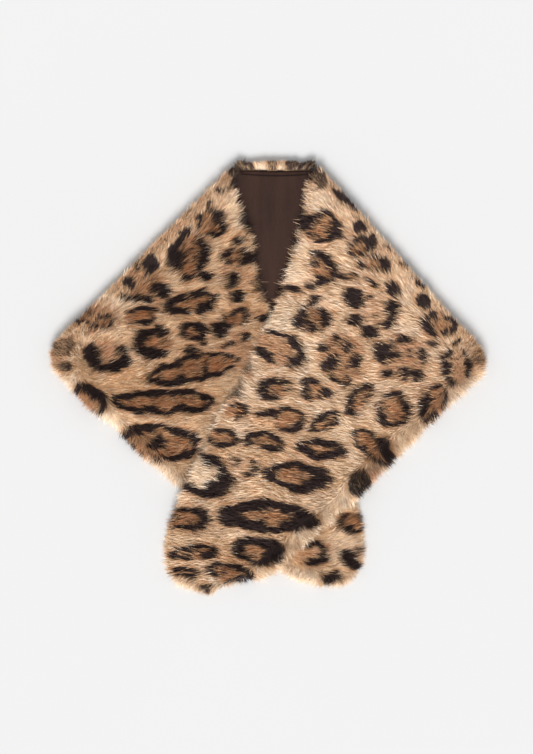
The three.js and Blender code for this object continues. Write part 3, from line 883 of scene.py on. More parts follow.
def add_node(tree, kind, inputs=None, **settings):
    node = tree.nodes.new(kind)
    for name, value in settings.items():
        setattr(node, name, value)
    for key, value in (inputs or {}).items():
        socket = find_socket(node.inputs, key)
        if isinstance(value, bpy.types.Node):
            value = next(output for output in value.outputs if output.enabled)
        if isinstance(value, bpy.types.NodeSocket):
            tree.links.new(value, socket)
        else:
            socket.default_value = value
    return node


def new_material(name):
    material = bpy.data.materials.new(name)
    material.use_nodes = True
    material.node_tree.nodes.clear()
    return material


def finish_material(material, shader):
    tree = material.node_tree
    add_node(tree, "ShaderNodeOutputMaterial", {"Surface": shader.outputs[0]})
    return material


# A colour multiplied by values, one after another
def shaded(tree, colour, first, *others):
    total = first
    for value in others:
        total = add_node(tree, "ShaderNodeMath", {"Value": total, "Value_001": value}, operation="MULTIPLY")
    grey = add_node(tree, "ShaderNodeCombineColor", {"Red": total, "Green": total, "Blue": total})
    return add_node(tree, "ShaderNodeMix", {
        "Factor_Float": 1.0, "A_Color": colour, "B_Color": grey,
    }, data_type="RGBA", blend_type="MULTIPLY")


# Modacrylic long-pile faux fur: crimped fibres, dry and softly glossy along their length.
# Each strand carries its own place in the spotted coat; its colour is darkened towards the root as painted
# shade, so the tips are paler.
def pile_material(name, root_shade):
    colours = bpy.context.scene.wrap_colours
    material = new_material(name)
    tree = material.node_tree
    attribute = lambda label: add_node(tree, "ShaderNodeAttribute", attribute_name=label).outputs["Fac"]
    blend = lambda share, a, b: add_node(
        tree, "ShaderNodeMix", {"Factor_Float": share, "A_Color": a, "B_Color": b}, data_type="RGBA",
    )
    ground = blend(attribute("pale"), tuple(colours.ground), tuple(colours.cream))
    coated = blend(attribute("brown"), ground, tuple(colours.core))
    marked = blend(attribute("dark"), coated, tuple(colours.blotch))
    # Fibre to fibre changes of tone, drawn 3 mm wide so that they show
    fibre = add_node(tree, "ShaderNodeTexNoise", {
        "Vector": add_node(tree, "ShaderNodeTexCoord").outputs["Object"], "Scale": 330.0, "Detail": 2.0,
    })
    tone = add_node(tree, "ShaderNodeMapRange", {
        "Value": fibre.outputs["Fac"], "To Min": 0.88, "To Max": 1.1,
    })
    # Painted shade: each strand darker towards its root, down among the others
    depth = add_node(tree, "ShaderNodeMapRange", {
        "Value": attribute("along"), "From Min": 0.0, "From Max": 0.75, "To Min": root_shade, "To Max": 1.0,
    })
    final = shaded(tree, marked, attribute("shade"), tone, depth)
    roughness = add_node(tree, "ShaderNodeMapRange", {
        "Value": fibre.outputs["Fac"], "To Min": 0.52, "To Max": 0.72,
    })
    shader = add_node(tree, "ShaderNodeBsdfPrincipled", {
        "Base Color": final, "Roughness": roughness.outputs["Result"], "IOR": 1.45,
        "Specular IOR Level": 0.32, "Sheen Weight": 0.05, "Sheen Roughness": 0.5,
    })
    return finish_material(material, shader)


# Polyester satin lining, warp faced: long floats that shine softly along the length of the cloth. Streaks of
# painted sheen lighten and darken its colour along the cloth.
def satin_material(name, colour, crease, gloss):
    material = new_material(name)
    tree = material.node_tree
    place = add_node(tree, "ShaderNodeTexCoord").outputs["Object"]
    # Threads stand 0.25 mm apart in the cloth; drawn at 0.9 mm so that they show
    thread_map = add_node(tree, "ShaderNodeMapping", {"Vector": place, "Scale": (1100.0, 160.0, 160.0)})
    threads = add_node(tree, "ShaderNodeTexNoise", {
        "Vector": thread_map.outputs["Vector"], "Scale": 1.0, "Detail": 2.0,
    })
    # Painted sheen: soft streaks, lighter and darker, drawn into the colour along the cloth
    painted_sheen_map = add_node(tree, "ShaderNodeMapping", {"Vector": place, "Scale": (60.0, 9.0, 30.0)})
    clouds = add_node(tree, "ShaderNodeTexNoise", {
        "Vector": painted_sheen_map.outputs["Vector"], "Scale": 1.0, "Detail": 3.0,
    })
    light = add_node(tree, "ShaderNodeMapRange", {
        "Value": clouds.outputs["Fac"], "From Min": 0.3, "From Max": 0.7, "To Min": 0.82, "To Max": 1.2,
    })
    grain = add_node(tree, "ShaderNodeMapRange", {
        "Value": threads.outputs["Fac"], "From Min": 0.3, "From Max": 0.7, "To Min": 0.9, "To Max": 1.1,
    })
    own_shade = add_node(tree, "ShaderNodeAttribute", attribute_name="shade").outputs["Fac"]
    tinted = shaded(tree, colour, light, grain, own_shade)
    bump = add_node(tree, "ShaderNodeBump", {
        "Height": threads.outputs["Fac"], "Strength": 0.25, "Distance": crease,
    })
    shader = add_node(tree, "ShaderNodeBsdfPrincipled", {
        "Base Color": tinted, "Roughness": 0.56, "IOR": 1.5,
        "Specular IOR Level": gloss, "Sheen Weight": 0.03, "Sheen Roughness": 0.4,
        "Normal": bump.outputs["Normal"],
    })
    return finish_material(material, shader)


# Spun polyester thread: matt, with the twist of its two plies
def thread_material():
    material = new_material("spun polyester thread")
    tree = material.node_tree
    place = add_node(tree, "ShaderNodeTexCoord").outputs["Object"]
    twist = add_node(tree, "ShaderNodeTexWave", {"Vector": place, "Scale": 900.0, "Distortion": 1.0})
    tone = add_node(tree, "ShaderNodeMapRange", {
        "Value": twist.outputs["Fac"], "To Min": 0.75, "To Max": 1.15,
    })
    tinted = shaded(tree, tuple(bpy.context.scene.wrap_colours.thread), tone)
    shader = add_node(tree, "ShaderNodeBsdfPrincipled", {
        "Base Color": tinted, "Roughness": 0.8, "IOR": 1.5, "Specular IOR Level": 0.3,
    })
    return finish_material(material, shader)


# Painted studio floor: matt, with the faintest cloudiness
def floor_material():
    material = new_material("matt painted floor")
    tree = material.node_tree
    place = add_node(tree, "ShaderNodeTexCoord").outputs["Object"]
    clouds = add_node(tree, "ShaderNodeTexNoise", {"Vector": place, "Scale": 3.0, "Detail": 2.0})
    tone = add_node(tree, "ShaderNodeMix", {
        "Factor_Float": clouds.outputs["Fac"], "A_Color": tuple(bpy.context.scene.wrap_colours.floor),
        "B_Color": linear_colour("#e7e7e7"),
    }, data_type="RGBA")
    shader = add_node(tree, "ShaderNodeBsdfPrincipled", {
        "Base Color": tone, "Roughness": 0.9, "Specular IOR Level": 0.1,
    })
    return finish_material(material, shader)


# An empty tree that takes geometry and named inputs and gives geometry, and its inputs' sockets
def geometry_tree(name, inputs):
    tree = bpy.data.node_groups.new(name, "GeometryNodeTree")
    for label, kind in {"Geometry": "Geometry", **inputs}.items():
        tree.interface.new_socket(label, in_out="INPUT", socket_type=f"NodeSocket{kind}")
    tree.interface.new_socket("Geometry", in_out="OUTPUT", socket_type="NodeSocketGeometry")
    return tree, tree.nodes.new("NodeGroupInput").outputs


# Blades that stand for locks of pile, each one unit long, with different bends
def blade_collection():
    collection = bpy.data.collections.new("pile blades")
    bends = ((0.05, -0.10), (-0.07, 0.02), (0.10, 0.04), (-0.04, -0.14), (0.0, 0.10))
    for number, (middle_bend, tip_bend) in enumerate(bends):
        mesh = bpy.data.meshes.new(f"blade_{number}")
        corners = [
            (0.0, 0.0, 0.0), (-0.5 + middle_bend * 6, 0.3, 0.05), (0.5 + middle_bend * 8, 0.55, 0.07),
            (tip_bend * 10, 1.0, -0.02),
        ]
        mesh.from_pydata(corners, [], [(0, 2, 1), (1, 2, 3)])
        write_values(mesh, "along", [0, 0.3, 0.55, 1])
        collection.objects.link(bpy.data.objects.new(f"blade_{number}", mesh))
    return collection


# The tree that grows pile: points on the backing, turned to the combing, one blade on each
def pile_tree(blades, material):
    tree, inputs = geometry_tree("grow pile", {
        "Strands per square metre": "Float", "Length": "Float", "Width": "Float", "Splay": "Float",
        "Seed": "Int",
    })
    named = lambda label, kind: add_node(
        tree, "GeometryNodeInputNamedAttribute", {"Name": label}, data_type=kind
    )
    chance = lambda low, high, shift: add_node(tree, "FunctionNodeRandomValue", {
        "Min": low, "Max": high, "Seed": shift,
    }, data_type="FLOAT_VECTOR" if isinstance(low, tuple) else "FLOAT")
    product = lambda a, b: add_node(
        tree, "ShaderNodeMath", {"Value": a, "Value_001": b}, operation="MULTIPLY"
    )
    density = product(named("growth", "FLOAT"), inputs["Strands per square metre"])
    points = add_node(tree, "GeometryNodeDistributePointsOnFaces", {
        "Mesh": inputs["Geometry"], "Density": density, "Seed": inputs["Seed"],
    })
    ragged = named("ragged", "FLOAT")
    wilder = add_node(tree, "ShaderNodeMath", {
        "Value": ragged, "Value_001": 0.9, "Value_002": 1.0,
    }, operation="MULTIPLY_ADD")
    wild = add_node(tree, "ShaderNodeMath", {
        "Value": chance(0.0, 1.0, 11), "Value_001": 6.0,
    }, operation="POWER")
    wildest = add_node(tree, "ShaderNodeMath", {
        "Value": wild, "Value_001": 1.6, "Value_002": 1.0,
    }, operation="MULTIPLY_ADD")
    stray = add_node(tree, "ShaderNodeVectorMath", {
        "Vector": chance((-1.0, -1.0, -1.0), (1.0, 1.0, 1.0), 3),
        "Scale": product(product(inputs["Splay"], wilder), wildest),
    }, operation="SCALE")
    way = add_node(tree, "ShaderNodeVectorMath", {
        "Vector": named("comb", "FLOAT_VECTOR"), "Vector_001": stray,
    }, operation="ADD")
    laid = add_node(tree, "FunctionNodeAlignRotationToVector", {"Vector": way}, axis="Y")
    faced = add_node(tree, "FunctionNodeAlignRotationToVector", {
        "Rotation": laid, "Vector": points.outputs["Normal"],
    }, axis="Z", pivot_axis="Y")
    spin = add_node(tree, "ShaderNodeCombineXYZ", {"Y": chance(-0.55, 0.55, 4)})
    turned = add_node(tree, "FunctionNodeRotateRotation", {
        "Rotation": faced, "Rotate By": add_node(tree, "FunctionNodeEulerToRotation", {"Euler": spin}),
    }, rotation_space="LOCAL")
    spread = add_node(tree, "ShaderNodeMath", {
        "Value": product(ragged, 0.3), "Value_001": chance(-1.0, 1.0, 12), "Value_002": 1.0,
    }, operation="MULTIPLY_ADD")
    reach = product(inputs["Length"], named("reach", "FLOAT"))
    length = product(reach, product(chance(0.78, 1.1, 5), spread))
    slender = add_node(tree, "ShaderNodeMath", {
        "Value": ragged, "Value_001": -0.3, "Value_002": 1.0,
    }, operation="MULTIPLY_ADD")
    own = chance(0.0, 1.0, 9)
    guard = add_node(tree, "ShaderNodeMath", {
        "Value": own, "Value_001": GUARD_FROM,
    }, operation="GREATER_THAN")
    longer = add_node(tree, "ShaderNodeMath", {
        "Value": guard, "Value_001": 0.15, "Value_002": 1.0,
    }, operation="MULTIPLY_ADD")
    finer = add_node(tree, "ShaderNodeMath", {
        "Value": guard, "Value_001": -0.3, "Value_002": 1.0,
    }, operation="MULTIPLY_ADD")
    length = product(length, longer)
    width = product(product(inputs["Width"], finer), slender)
    size = add_node(tree, "ShaderNodeCombineXYZ", {
        "X": product(width, chance(0.7, 1.25, 6)), "Y": length, "Z": length,
    })
    blade = add_node(tree, "GeometryNodeCollectionInfo", {
        "Collection": blades, "Separate Children": True, "Reset Children": True,
    })
    strands = add_node(tree, "GeometryNodeInstanceOnPoints", {
        "Points": points.outputs["Points"], "Instance": blade, "Pick Instance": True,
        "Instance Index": add_node(tree, "FunctionNodeRandomValue", {
            "Min": 0, "Max": len(blades.objects) - 1, "Seed": 8,
        }, data_type="INT"),
        "Rotation": turned, "Scale": size,
    })
    rooted = add_node(tree, "GeometryNodeStoreNamedAttribute", {
        "Geometry": strands, "Name": "root", "Value": add_node(tree, "GeometryNodeInputPosition"),
    }, data_type="FLOAT_VECTOR", domain="INSTANCE")
    marked = add_node(tree, "GeometryNodeStoreNamedAttribute", {
        "Geometry": rooted, "Name": "own", "Value": own,
    }, data_type="FLOAT", domain="INSTANCE")
    real = add_node(tree, "GeometryNodeRealizeInstances", {"Geometry": marked})
    dressed = add_node(tree, "GeometryNodeSetMaterial", {"Geometry": real, "Material": material})
    add_node(tree, "NodeGroupOutput", {"Geometry": dressed})
    return tree


# Runs a node tree on a piece and returns its result as a plain mesh
def grown_mesh(piece, tree, values):
    modifier = piece.modifiers.new(tree.name, "NODES")
    modifier.node_group = tree
    identifiers = {item.name: item.identifier for item in tree.interface.items_tree if item.in_out == "INPUT"}
    for name, value in values.items():
        modifier[identifiers[name]] = value
    evaluated = piece.evaluated_get(bpy.context.evaluated_depsgraph_get())
    mesh = bpy.data.meshes.new_from_object(evaluated)
    piece.modifiers.remove(modifier)
    return mesh


# Middle of the clump that each place belongs to, and a fixed random number of that clump
def clumps_at(x, y, spacing, seed):
    lattice = np.random.default_rng(seed).random((256, 256, 3))
    column = np.floor(x / spacing).astype(int)
    row = np.floor(y / spacing).astype(int)
    best = np.full(x.shape, np.inf)
    middle_x = np.zeros_like(x)
    middle_y = np.zeros_like(y)
    number = np.zeros_like(x)
    for right in (-1, 0, 1):
        for up in (-1, 0, 1):
            cell = lattice[(row + up) % 256, (column + right) % 256]
            cx = (column + right + cell[:, 0]) * spacing
            cy = (row + up + cell[:, 1]) * spacing
            apart = np.hypot(x - cx, y - cy)
            nearer = apart < best
            best = np.where(nearer, apart, best)
            middle_x = np.where(nearer, cx, middle_x)
            middle_y = np.where(nearer, cy, middle_y)
            number = np.where(nearer, cell[:, 2], number)
    return middle_x, middle_y, number


# Gathers strands into clumps, keeps them off what lies below, and colours each by its place
def dress_strands(mesh, spots, rosettes, floor_height):
    places = places_of(mesh).astype(float).reshape(-1, STRAND_CORNERS, 3)
    roots = (read_values(mesh, "root", 3).astype(float) / MM).reshape(-1, STRAND_CORNERS, 3)
    if not np.allclose(roots[:, 0], roots[:, -1], atol=0.01):
        raise RuntimeError("the corners of a strand aren't next to each other")
    own = read_values(mesh, "own", 1).reshape(-1, STRAND_CORNERS)[:, 0]
    along = read_values(mesh, "along", 1).reshape(-1, STRAND_CORNERS)
    root = roots[:, 0]
    pull = np.zeros((len(root), 2))
    tones = []
    for gather in GATHERS:
        middle_x, middle_y, tone = clumps_at(root[:, 0], root[:, 1], gather.spacing, gather.seed)
        pull += gather.pull * (np.stack([middle_x, middle_y], -1) - root[:, :2])
        tones.append(tone)
    lock_tone, clump_tone, tuft_tone = tones
    places[..., :2] += pull[:, None, :] * (along ** 1.5)[..., None]
    lowest = floor_height(places[..., 0], places[..., 1])
    places[..., 2] = np.maximum(places[..., 2], lowest)
    mesh.vertices.foreach_set("co", (places.reshape(-1, 3) * MM).astype(np.float32).ravel())

    printed = 0.45 + 0.25 * (lock_tone - 0.5) + 0.75 * (own - 0.5)
    shown = mix(places[:, 1:3].mean(axis=1), places[:, 3], printed[:, None])
    dark, brown, near, cream = coat_at(shown[:, 0], shown[:, 1], spots, rosettes)
    cloud = soft_noise(shown[:, 0], shown[:, 1], 26, 51)
    # Some locks inside a rosette carry dark tips
    ticked = (lock_tone * 17.3) % 1 > 0.84
    mottle = 0.55 * np.where(ticked, smoothstep(brown, 0.5, 0.85), 0)
    dark = smoothstep(dark + mottle + 0.3 * (own - 0.5) + 0.3 * (lock_tone - 0.5), 0.35, 0.7)
    # Edge tint and painted shade: a few strands darkened along the fold and many along the neck's hem, there
    # as painted shade over the lining together with dark underfur; paler strands along the outer edge
    edge_tint_and_painted_shade = read_values(mesh, "edge_tint_and_painted_shade", 1).reshape(-1, STRAND_CORNERS)[:, 0]
    darkened = (edge_tint_and_painted_shade > 0.35) & (own < mix(0.12, 0.6, edge_tint_and_painted_shade > 0.9))
    dark = np.where(darkened, np.maximum(dark, 0.8), dark)
    near = np.maximum(near * (1 - 0.7 * cream), edge_tint_and_painted_shade)
    brown = np.maximum(brown, 0.47 * near) + 0.2 * (cloud - 0.5)
    brown = brown * (0.8 + 0.5 * (lock_tone - 0.5) + 0.4 * (own - 0.5))
    pale = 0.42 + 0.35 * (lock_tone - 0.5) + 0.35 * (clump_tone - 0.5) + 0.3 * (own - 0.5)
    pale = pale + 0.5 * (cloud - 0.45) + 0.6 * cream + 0.5 * np.clip(-edge_tint_and_painted_shade, 0, 1)
    pale = np.clip(pale, 0, 1) * (1 - 0.8 * np.maximum(near, brown))
    shade = 1.06 + 0.26 * (lock_tone - 0.5) + 0.18 * (clump_tone - 0.5) + 0.16 * (own - 0.5)
    shade = shade + 0.14 * (tuft_tone - 0.5) + 0.1 * cream
    guard = own > GUARD_FROM
    pale = np.where(guard, np.clip(pale + GUARD_PALER, 0, 1), pale)
    shade = np.where(guard, shade * GUARD_BRIGHTER, shade)
    coat = {"dark": dark, "brown": np.clip(brown, 0, 1), "pale": pale, "shade": shade}
    for label, values in coat.items():
        write_values(mesh, label, np.repeat(values, STRAND_CORNERS))
    for label in (*GROWING_VALUES, "root", "own"):
        if mesh.attributes.get(label):
            mesh.attributes.remove(mesh.attributes[label])
    write_bake_map(mesh, root, along)


# A map for the export: every strand lies on its root's place, with a small footprint of its own
def write_bake_map(mesh, root, along):
    low = root[:, :2].min(axis=0) - 4
    span = (root[:, :2].max(axis=0) - low).max() + 8
    side = np.tile(np.array([0.5, 0, 1, 0.5]), (len(root), 1))
    u = (root[:, 0, None] - low[0] + side * BAKE_FOOTPRINT[0]) / span
    v = (root[:, 1, None] - low[1] + along * BAKE_FOOTPRINT[1]) / span
    at_corners = np.stack([u.ravel(), v.ravel()], -1)
    corners = np.empty(len(mesh.loops), np.int32)
    mesh.loops.foreach_get("vertex_index", corners)
    layer = mesh.uv_layers.new(name="OFBake")
    layer.uv.foreach_set("vector", at_corners[corners].astype(np.float32).ravel())


# The coat on a backing shell, so that no bare cloth shows between strands, in a lower tone as painted shade
# under the pile
def dress_backing(mesh, spots, rosettes):
    places = places_of(mesh).astype(float)
    x = places[:, 0]
    y = places[:, 1]
    dark, brown, near, _ = coat_at(x, y, spots, rosettes)
    write_values(mesh, "dark", dark)
    write_values(mesh, "brown", np.maximum(brown, 0.5 * near))
    write_values(mesh, "pale", 0 * x)
    # Painted shade: the backing's tone is lowered under the pile, with a small random change
    write_values(mesh, "shade", 0.8 + 0.2 * soft_noise(x, y, 6, 61))
    write_values(mesh, "along", 0 * x + 0.5)


# Grows the pile of one panel as several pieces, none with more strands than STRANDS_PER_PIECE
def grow_panel(backing, zones, spots, rosettes, floor_height, seed):
    sizes = bpy.context.scene.wrap_sizes
    mesh = backing.data
    growth = read_values(mesh, "growth", 1).copy()
    pieces = []
    for number, (name, zone) in enumerate(zones.items()):
        write_values(mesh, "growth", growth * zone)
        strands = grown_mesh(backing, bpy.data.node_groups["grow pile"], {
            "Strands per square metre": sizes.density * 1e4,
            "Length": sizes.strand_length,
            "Width": sizes.strand_width,
            "Splay": sizes.splay,
            "Seed": seed + number,
        })
        strands.name = name
        count = len(strands.vertices) // STRAND_CORNERS
        if not 0 < count <= STRANDS_PER_PIECE:
            raise RuntimeError(f"{name} has {count} strands")
        dress_strands(strands, spots, rosettes, floor_height)
        piece = add_piece(name, strands)
        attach(piece, "root")
        pieces.append(piece)
    for label in GROWING_VALUES:
        mesh.attributes.remove(mesh.attributes[label])
    return pieces


# The underside of a front is lined, all but the turned edge
def line_underside(mesh, sections, satin):
    mesh.materials.append(satin)
    faces = len(mesh.polygons)
    middles = np.empty(faces * 3, np.float32)
    mesh.polygons.foreach_get("center", middles)
    middles = middles.reshape(-1, 3) / MM
    normals = np.empty(faces * 3, np.float32)
    mesh.polygons.foreach_get("normal", normals)
    faces_down = normals.reshape(-1, 3)[:, 2] < -0.5
    well_inside = depth_inside(sections, middles[:, 0], middles[:, 1]) > LINED_FROM_EDGE
    mesh.polygons.foreach_set("material_index", (faces_down & well_inside).astype(np.int32))


# Lays the backing of a front, and gives it with the places of its points on the table
def lay_front(name, sections, underside, nap, fringe):
    mesh = build_front_backing(name, sections, underside, nap, fringe)
    backing = add_piece(name, mesh)
    mesh.materials.append(bpy.data.materials["knitted pile backing"])
    line_underside(mesh, sections, bpy.data.materials["polyester satin lining"])
    places = places_of(mesh).astype(float)
    return backing, places[:, 0], places[:, 1]


def table_height(x, y):
    return np.full(np.shape(x), LOWEST_STRAND)


class WRAP_OT_stage(bpy.types.Operator):
    """Lay the floor, set the soft lights and the camera straight above"""

    bl_idname = "wrap.stage"
    bl_label = "Stage"

    def execute(self, context):
        scene = context.scene
        floor_mesh = bpy.data.meshes.new("floor")
        corners = [(x * FLOOR_REACH, y * FLOOR_REACH, 0) for x, y in ((-1, -1), (1, -1), (1, 1), (-1, 1))]
        floor_mesh.from_pydata(corners, [], [(0, 1, 2, 3)])
        floor = add_piece("floor", floor_mesh)
        floor.data.materials.append(floor_material())

        world = bpy.data.worlds.new("soft room")
        scene.world = world
        world.use_nodes = True
        background = world.node_tree.nodes["Background"]
        background.inputs["Color"].default_value = (1.0, 1.0, 1.0, 1.0)
        background.inputs["Strength"].default_value = ROOM_STRENGTH

        # A softbox far below the picture: even over the floor, with short soft shadows
        light = bpy.data.lights.new("key softbox", "SUN")
        light.energy = KEY_STRENGTH
        light.angle = math.radians(KEY_ANGLE)
        lamp = bpy.data.objects.new("key softbox", light)
        scene.collection.objects.link(lamp)
        lamp.location = KEY_PLACE
        lamp.rotation_euler = (-lamp.location).to_track_quat("-Z", "Y").to_euler()

        camera_data = bpy.data.cameras.new("camera")
        camera_data.sensor_fit = "VERTICAL"
        camera_data.sensor_height = SENSOR_HEIGHT
        view_height = PICTURE[1] * CHART_UNIT * MM
        camera_data.lens = SENSOR_HEIGHT * CAMERA_DISTANCE / view_height
        camera = bpy.data.objects.new("camera", camera_data)
        scene.collection.objects.link(camera)
        middle_x = (PICTURE[0] / 2 - CHART_MIDDLE[0]) * CHART_UNIT * MM
        middle_y = (CHART_MIDDLE[1] - PICTURE[1] / 2) * CHART_UNIT * MM
        camera.location = (middle_x, middle_y, CAMERA_DISTANCE)
        scene.camera = camera
        scene.view_settings.view_transform = "Standard"
        return {"FINISHED"}


class WRAP_OT_finishes(bpy.types.Operator):
    """Mix the finishes and build the tree that grows the pile"""

    bl_idname = "wrap.finishes"
    bl_label = "Finishes"

    def execute(self, context):
        colours = context.scene.wrap_colours
        # The roots of the pile, and the backing between strands more so, are darkened with painted shade
        pile = pile_material("modacrylic long pile", 0.7)
        pile_material("knitted pile backing", 0.3)
        satin_material("polyester satin lining", tuple(colours.lining), 0.0003, 0.22)
        satin_material("pressed satin band", tuple(colours.band), 0.0002, 0.08)
        thread_material()
        pile_tree(blade_collection(), pile)
        return {"FINISHED"}


class WRAP_OT_lower_front(bpy.types.Operator):
    """Lay the left front over the back and grow its pile where it shows"""

    bl_idname = "wrap.lower_front"
    bl_label = "Left front, under"

    def execute(self, context):
        backing, x, y = lay_front("left_front_backing", LEFT_SECTIONS, over_back, LEFT_NAP, LEFT_FRINGE)
        mesh = backing.data
        shows = 1 - smoothstep(depth_inside(RIGHT_SECTIONS, x, y), *COVERED_DEPTHS)
        write_values(mesh, "growth", read_values(mesh, "growth", 1) * shows)
        upper = smoothstep(y, *LEFT_PARTS_AT)
        zones = {"left_front_pile_upper": upper, "left_front_pile_lower": 1 - upper}
        motifs = LEFT_ROSETTES + BROWN_PATCHES + CREAM_PATCHES
        dress_backing(mesh, LEFT_SPOTS, motifs)
        pile = grow_panel(backing, zones, LEFT_SPOTS, motifs, table_height, 100)
        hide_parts("left_front_fur")
        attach(backing, "root")
        return {"FINISHED"}


class WRAP_OT_upper_front(bpy.types.Operator):
    """Lay the right front over the left one and grow its pile"""

    bl_idname = "wrap.upper_front"
    bl_label = "Right front, over"

    def execute(self, context):
        cover = over_front_field()
        backing, _, y = lay_front("right_front_backing", RIGHT_SECTIONS, cover, RIGHT_NAP, RIGHT_FRINGE)
        upper = smoothstep(y, *RIGHT_PARTS_AT)
        tail = 1 - smoothstep(y, *TAIL_PARTS_AT)
        zones = {
            "right_front_pile_upper": upper,
            "right_front_pile_middle": (1 - upper) * (1 - tail),
            "right_front_pile_tail": tail,
        }
        lowest = lambda px, py: np.maximum(cover(px, py) - SINK, LOWEST_STRAND)
        motifs = RIGHT_ROSETTES + BROWN_PATCHES + CREAM_PATCHES
        dress_backing(backing.data, RIGHT_SPOTS, motifs)
        pile = grow_panel(backing, zones, RIGHT_SPOTS, motifs, lowest, 200)
        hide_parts("right_front_fur")
        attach(backing, "root")
        return {"FINISHED"}


class WRAP_OT_back(bpy.types.Operator):
    """Lay the back pile down, with its pile turned up round the neck edge"""

    bl_idname = "wrap.back"
    bl_label = "Back"

    def execute(self, context):
        mesh = build_back_backing("back_backing")
        backing = add_piece("back_backing", mesh)
        mesh.materials.append(bpy.data.materials["knitted pile backing"])
        dress_backing(mesh, RIM_SPOTS, hidden_rosettes())
        zones = {"back_pile": np.ones(len(mesh.vertices))}
        pile = grow_panel(backing, zones, RIM_SPOTS, [], table_height, 300)
        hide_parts("back_fur")
        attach(backing, "root")
        return {"FINISHED"}


class WRAP_OT_lining(bpy.types.Operator):
    """Lay the satin lining on the back, with its soft creases"""

    bl_idname = "wrap.lining"
    bl_label = "Lining"

    def execute(self, context):
        shares = np.linspace(0.004, 0.996, 70)
        neck, outer, rim_width = back_edges(shares)
        depth = np.linalg.norm(outer - neck, axis=1)
        along = (outer - neck) / depth[:, None]
        start = rim_width + GAP
        distance = start[:, None] + (depth - LINING_INSET - start)[:, None] * np.linspace(0, 1, 80)[None, :]
        place = neck[:, None, :] + along[:, None, :] * distance[..., None]
        x = place[..., 0]
        y = place[..., 1]
        low = PRESSED_FUR + GAP
        soft = 0.5 * (soft_noise(x * 2.2, y, 26, 71) - 0.5) + 0.25 * (soft_noise(x, y, 9, 72) - 0.5)
        top = low + 0.75 + soft
        upper = np.concatenate([place, top[..., None]], -1)
        lower = np.concatenate([place, np.full(x.shape + (1,), low)], -1)
        mesh = shell_mesh("back_lining_satin", upper, lower)
        # Painted sheen and shade of soft creases: the colour lightens and darkens in long soft streaks down
        # the cloth
        shade = 0.9 + 0.2 * soft_noise(x * 3, y * 0.4, 22, 74)
        write_sides(mesh, "shade", shade, shade)
        lining = add_piece("back_lining_satin", mesh)
        mesh.materials.append(bpy.data.materials["polyester satin lining"])
        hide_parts("back_lining")
        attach(lining, "root")
        return {"FINISHED"}


# Stitches along a curve, one small bar of thread for each
def stitch_tree(material):
    tree, inputs = geometry_tree("sew stitches", {"Stitch length": "Float", "Thread width": "Float"})
    line = add_node(tree, "GeometryNodeMeshToCurve", {"Mesh": inputs["Geometry"]})
    spaced = add_node(tree, "GeometryNodeCurveToPoints", {
        "Curve": line, "Length": inputs["Stitch length"],
    }, mode="LENGTH")
    bar = add_node(tree, "GeometryNodeMeshUVSphere", {"Segments": 8, "Rings": 5, "Radius": 0.5})
    long = add_node(tree, "ShaderNodeMath", {
        "Value": inputs["Stitch length"], "Value_001": 0.8,
    }, operation="MULTIPLY")
    size = add_node(tree, "ShaderNodeCombineXYZ", {
        "X": inputs["Thread width"], "Y": inputs["Thread width"], "Z": long,
    })
    stitches = add_node(tree, "GeometryNodeInstanceOnPoints", {
        "Points": spaced.outputs["Points"], "Instance": bar.outputs["Mesh"],
        "Rotation": spaced.outputs["Rotation"], "Scale": size,
    })
    real = add_node(tree, "GeometryNodeRealizeInstances", {"Geometry": stitches})
    dressed = add_node(tree, "GeometryNodeSetMaterial", {"Geometry": real, "Material": material})
    add_node(tree, "NodeGroupOutput", {"Geometry": dressed})
    return tree


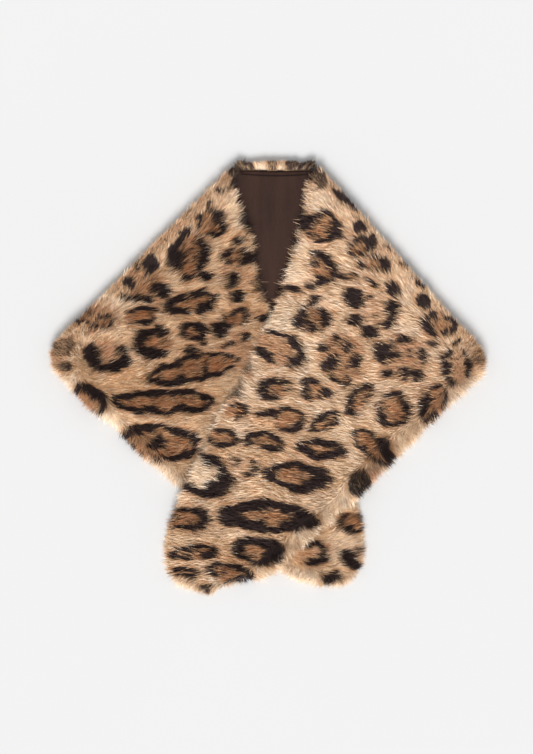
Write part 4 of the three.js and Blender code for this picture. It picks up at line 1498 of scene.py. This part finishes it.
class WRAP_OT_neck_band(bpy.types.Operator):
    """Press the band along the neck edge and sew it down with two rows"""

    bl_idname = "wrap.neck_band"
    bl_label = "Neck band"

    def execute(self, context):
        sizes = context.scene.wrap_sizes
        shares = np.linspace(*BAND_SHARE, 60)
        neck, outer, rim_width = back_edges(shares)
        along = unit(outer - neck)
        across = np.linspace(0, 1, 31)
        start = rim_width + BAND_FROM_RIM
        distance = start[:, None] + BAND_WIDTH * across[None, :]
        place = neck[:, None, :] + along[:, None, :] * distance[..., None]
        low = LINING_TOP + GAP
        swell = 0.25 + 0.2 * rounded(np.minimum(across, 1 - across), 0.2)
        dip = sum(np.exp(-((across - line) / 0.07) ** 2) for line in SEAMS)
        pucker = wavering(place[..., 0], place[..., 1], PUCKER)
        top = low + (swell - 0.1 * dip)[None, :] + pucker
        upper = np.concatenate([place, top[..., None]], -1)
        lower = np.concatenate([place, np.full(distance.shape + (1,), low)], -1)
        mesh = shell_mesh("neck_band_satin", upper, lower)
        # Painted shade: the sewn grooves and the lower side are darkened
        shade = 1 - 0.9 * np.clip(dip, 0, 1) * np.ones(distance.shape)
        shade[:, -3:] = 0.2
        write_sides(mesh, "shade", shade, shade)
        band = add_piece("neck_band_satin", mesh)
        mesh.materials.append(bpy.data.materials["pressed satin band"])

        guides = bpy.data.meshes.new("stitch_guides")
        points = []
        lines = []
        for line in SEAMS:
            first = len(points)
            guide = neck + along * (start + BAND_WIDTH * line)[:, None]
            points.extend([(x * MM, y * MM, (low + 0.36) * MM) for x, y in guide])
            lines.extend([(first + i, first + i + 1) for i in range(len(guide) - 1)])
        guides.from_pydata(points, lines, [])
        guide_piece = add_piece("stitch_guides", guides)
        tree = stitch_tree(bpy.data.materials["spun polyester thread"])
        stitch_mesh = grown_mesh(guide_piece, tree, {
            "Stitch length": sizes.stitch_length, "Thread width": sizes.stitch_width,
        })
        bpy.data.objects.remove(guide_piece)
        stitches = add_piece("neck_band_stitches", stitch_mesh)
        for piece in (band, stitches):
            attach(piece, "root")
        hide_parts("neck_band")
        return {"FINISHED"}


OPERATORS = (
    WRAP_OT_stage,
    WRAP_OT_finishes,
    WRAP_OT_back,
    WRAP_OT_lining,
    WRAP_OT_neck_band,
    WRAP_OT_lower_front,
    WRAP_OT_upper_front,
)


class WRAP_PT_panel(bpy.types.Panel):
    """Sizes, colours and steps of the wrap"""

    bl_idname = "WRAP_PT_panel"
    bl_label = "Fur collar wrap"
    bl_space_type = "VIEW_3D"
    bl_region_type = "UI"
    bl_category = "Wrap"

    def draw(self, context):
        layout = self.layout
        for group in (context.scene.wrap_sizes, context.scene.wrap_colours):
            for name in group.bl_rna.properties.keys():
                if name not in ("rna_type", "name"):
                    layout.prop(group, name)
        for operator in OPERATORS:
            layout.operator(operator.bl_idname)


CLASSES = (WrapSizes, WrapColours, *OPERATORS, WRAP_PT_panel)


def register():
    for item in CLASSES:
        bpy.utils.register_class(item)
    bpy.types.Scene.wrap_sizes = bpy.props.PointerProperty(type=WrapSizes)
    bpy.types.Scene.wrap_colours = bpy.props.PointerProperty(type=WrapColours)


def unregister():
    del bpy.types.Scene.wrap_sizes
    del bpy.types.Scene.wrap_colours
    for item in reversed(CLASSES):
        bpy.utils.unregister_class(item)


def main():
    register()
    bpy.ops.wrap.stage()
    bpy.ops.wrap.finishes()
    bpy.ops.wrap.back()
    bpy.ops.wrap.lining()
    bpy.ops.wrap.neck_band()
    bpy.ops.wrap.lower_front()
    bpy.ops.wrap.upper_front()


if __name__ == "__main__":
    main()
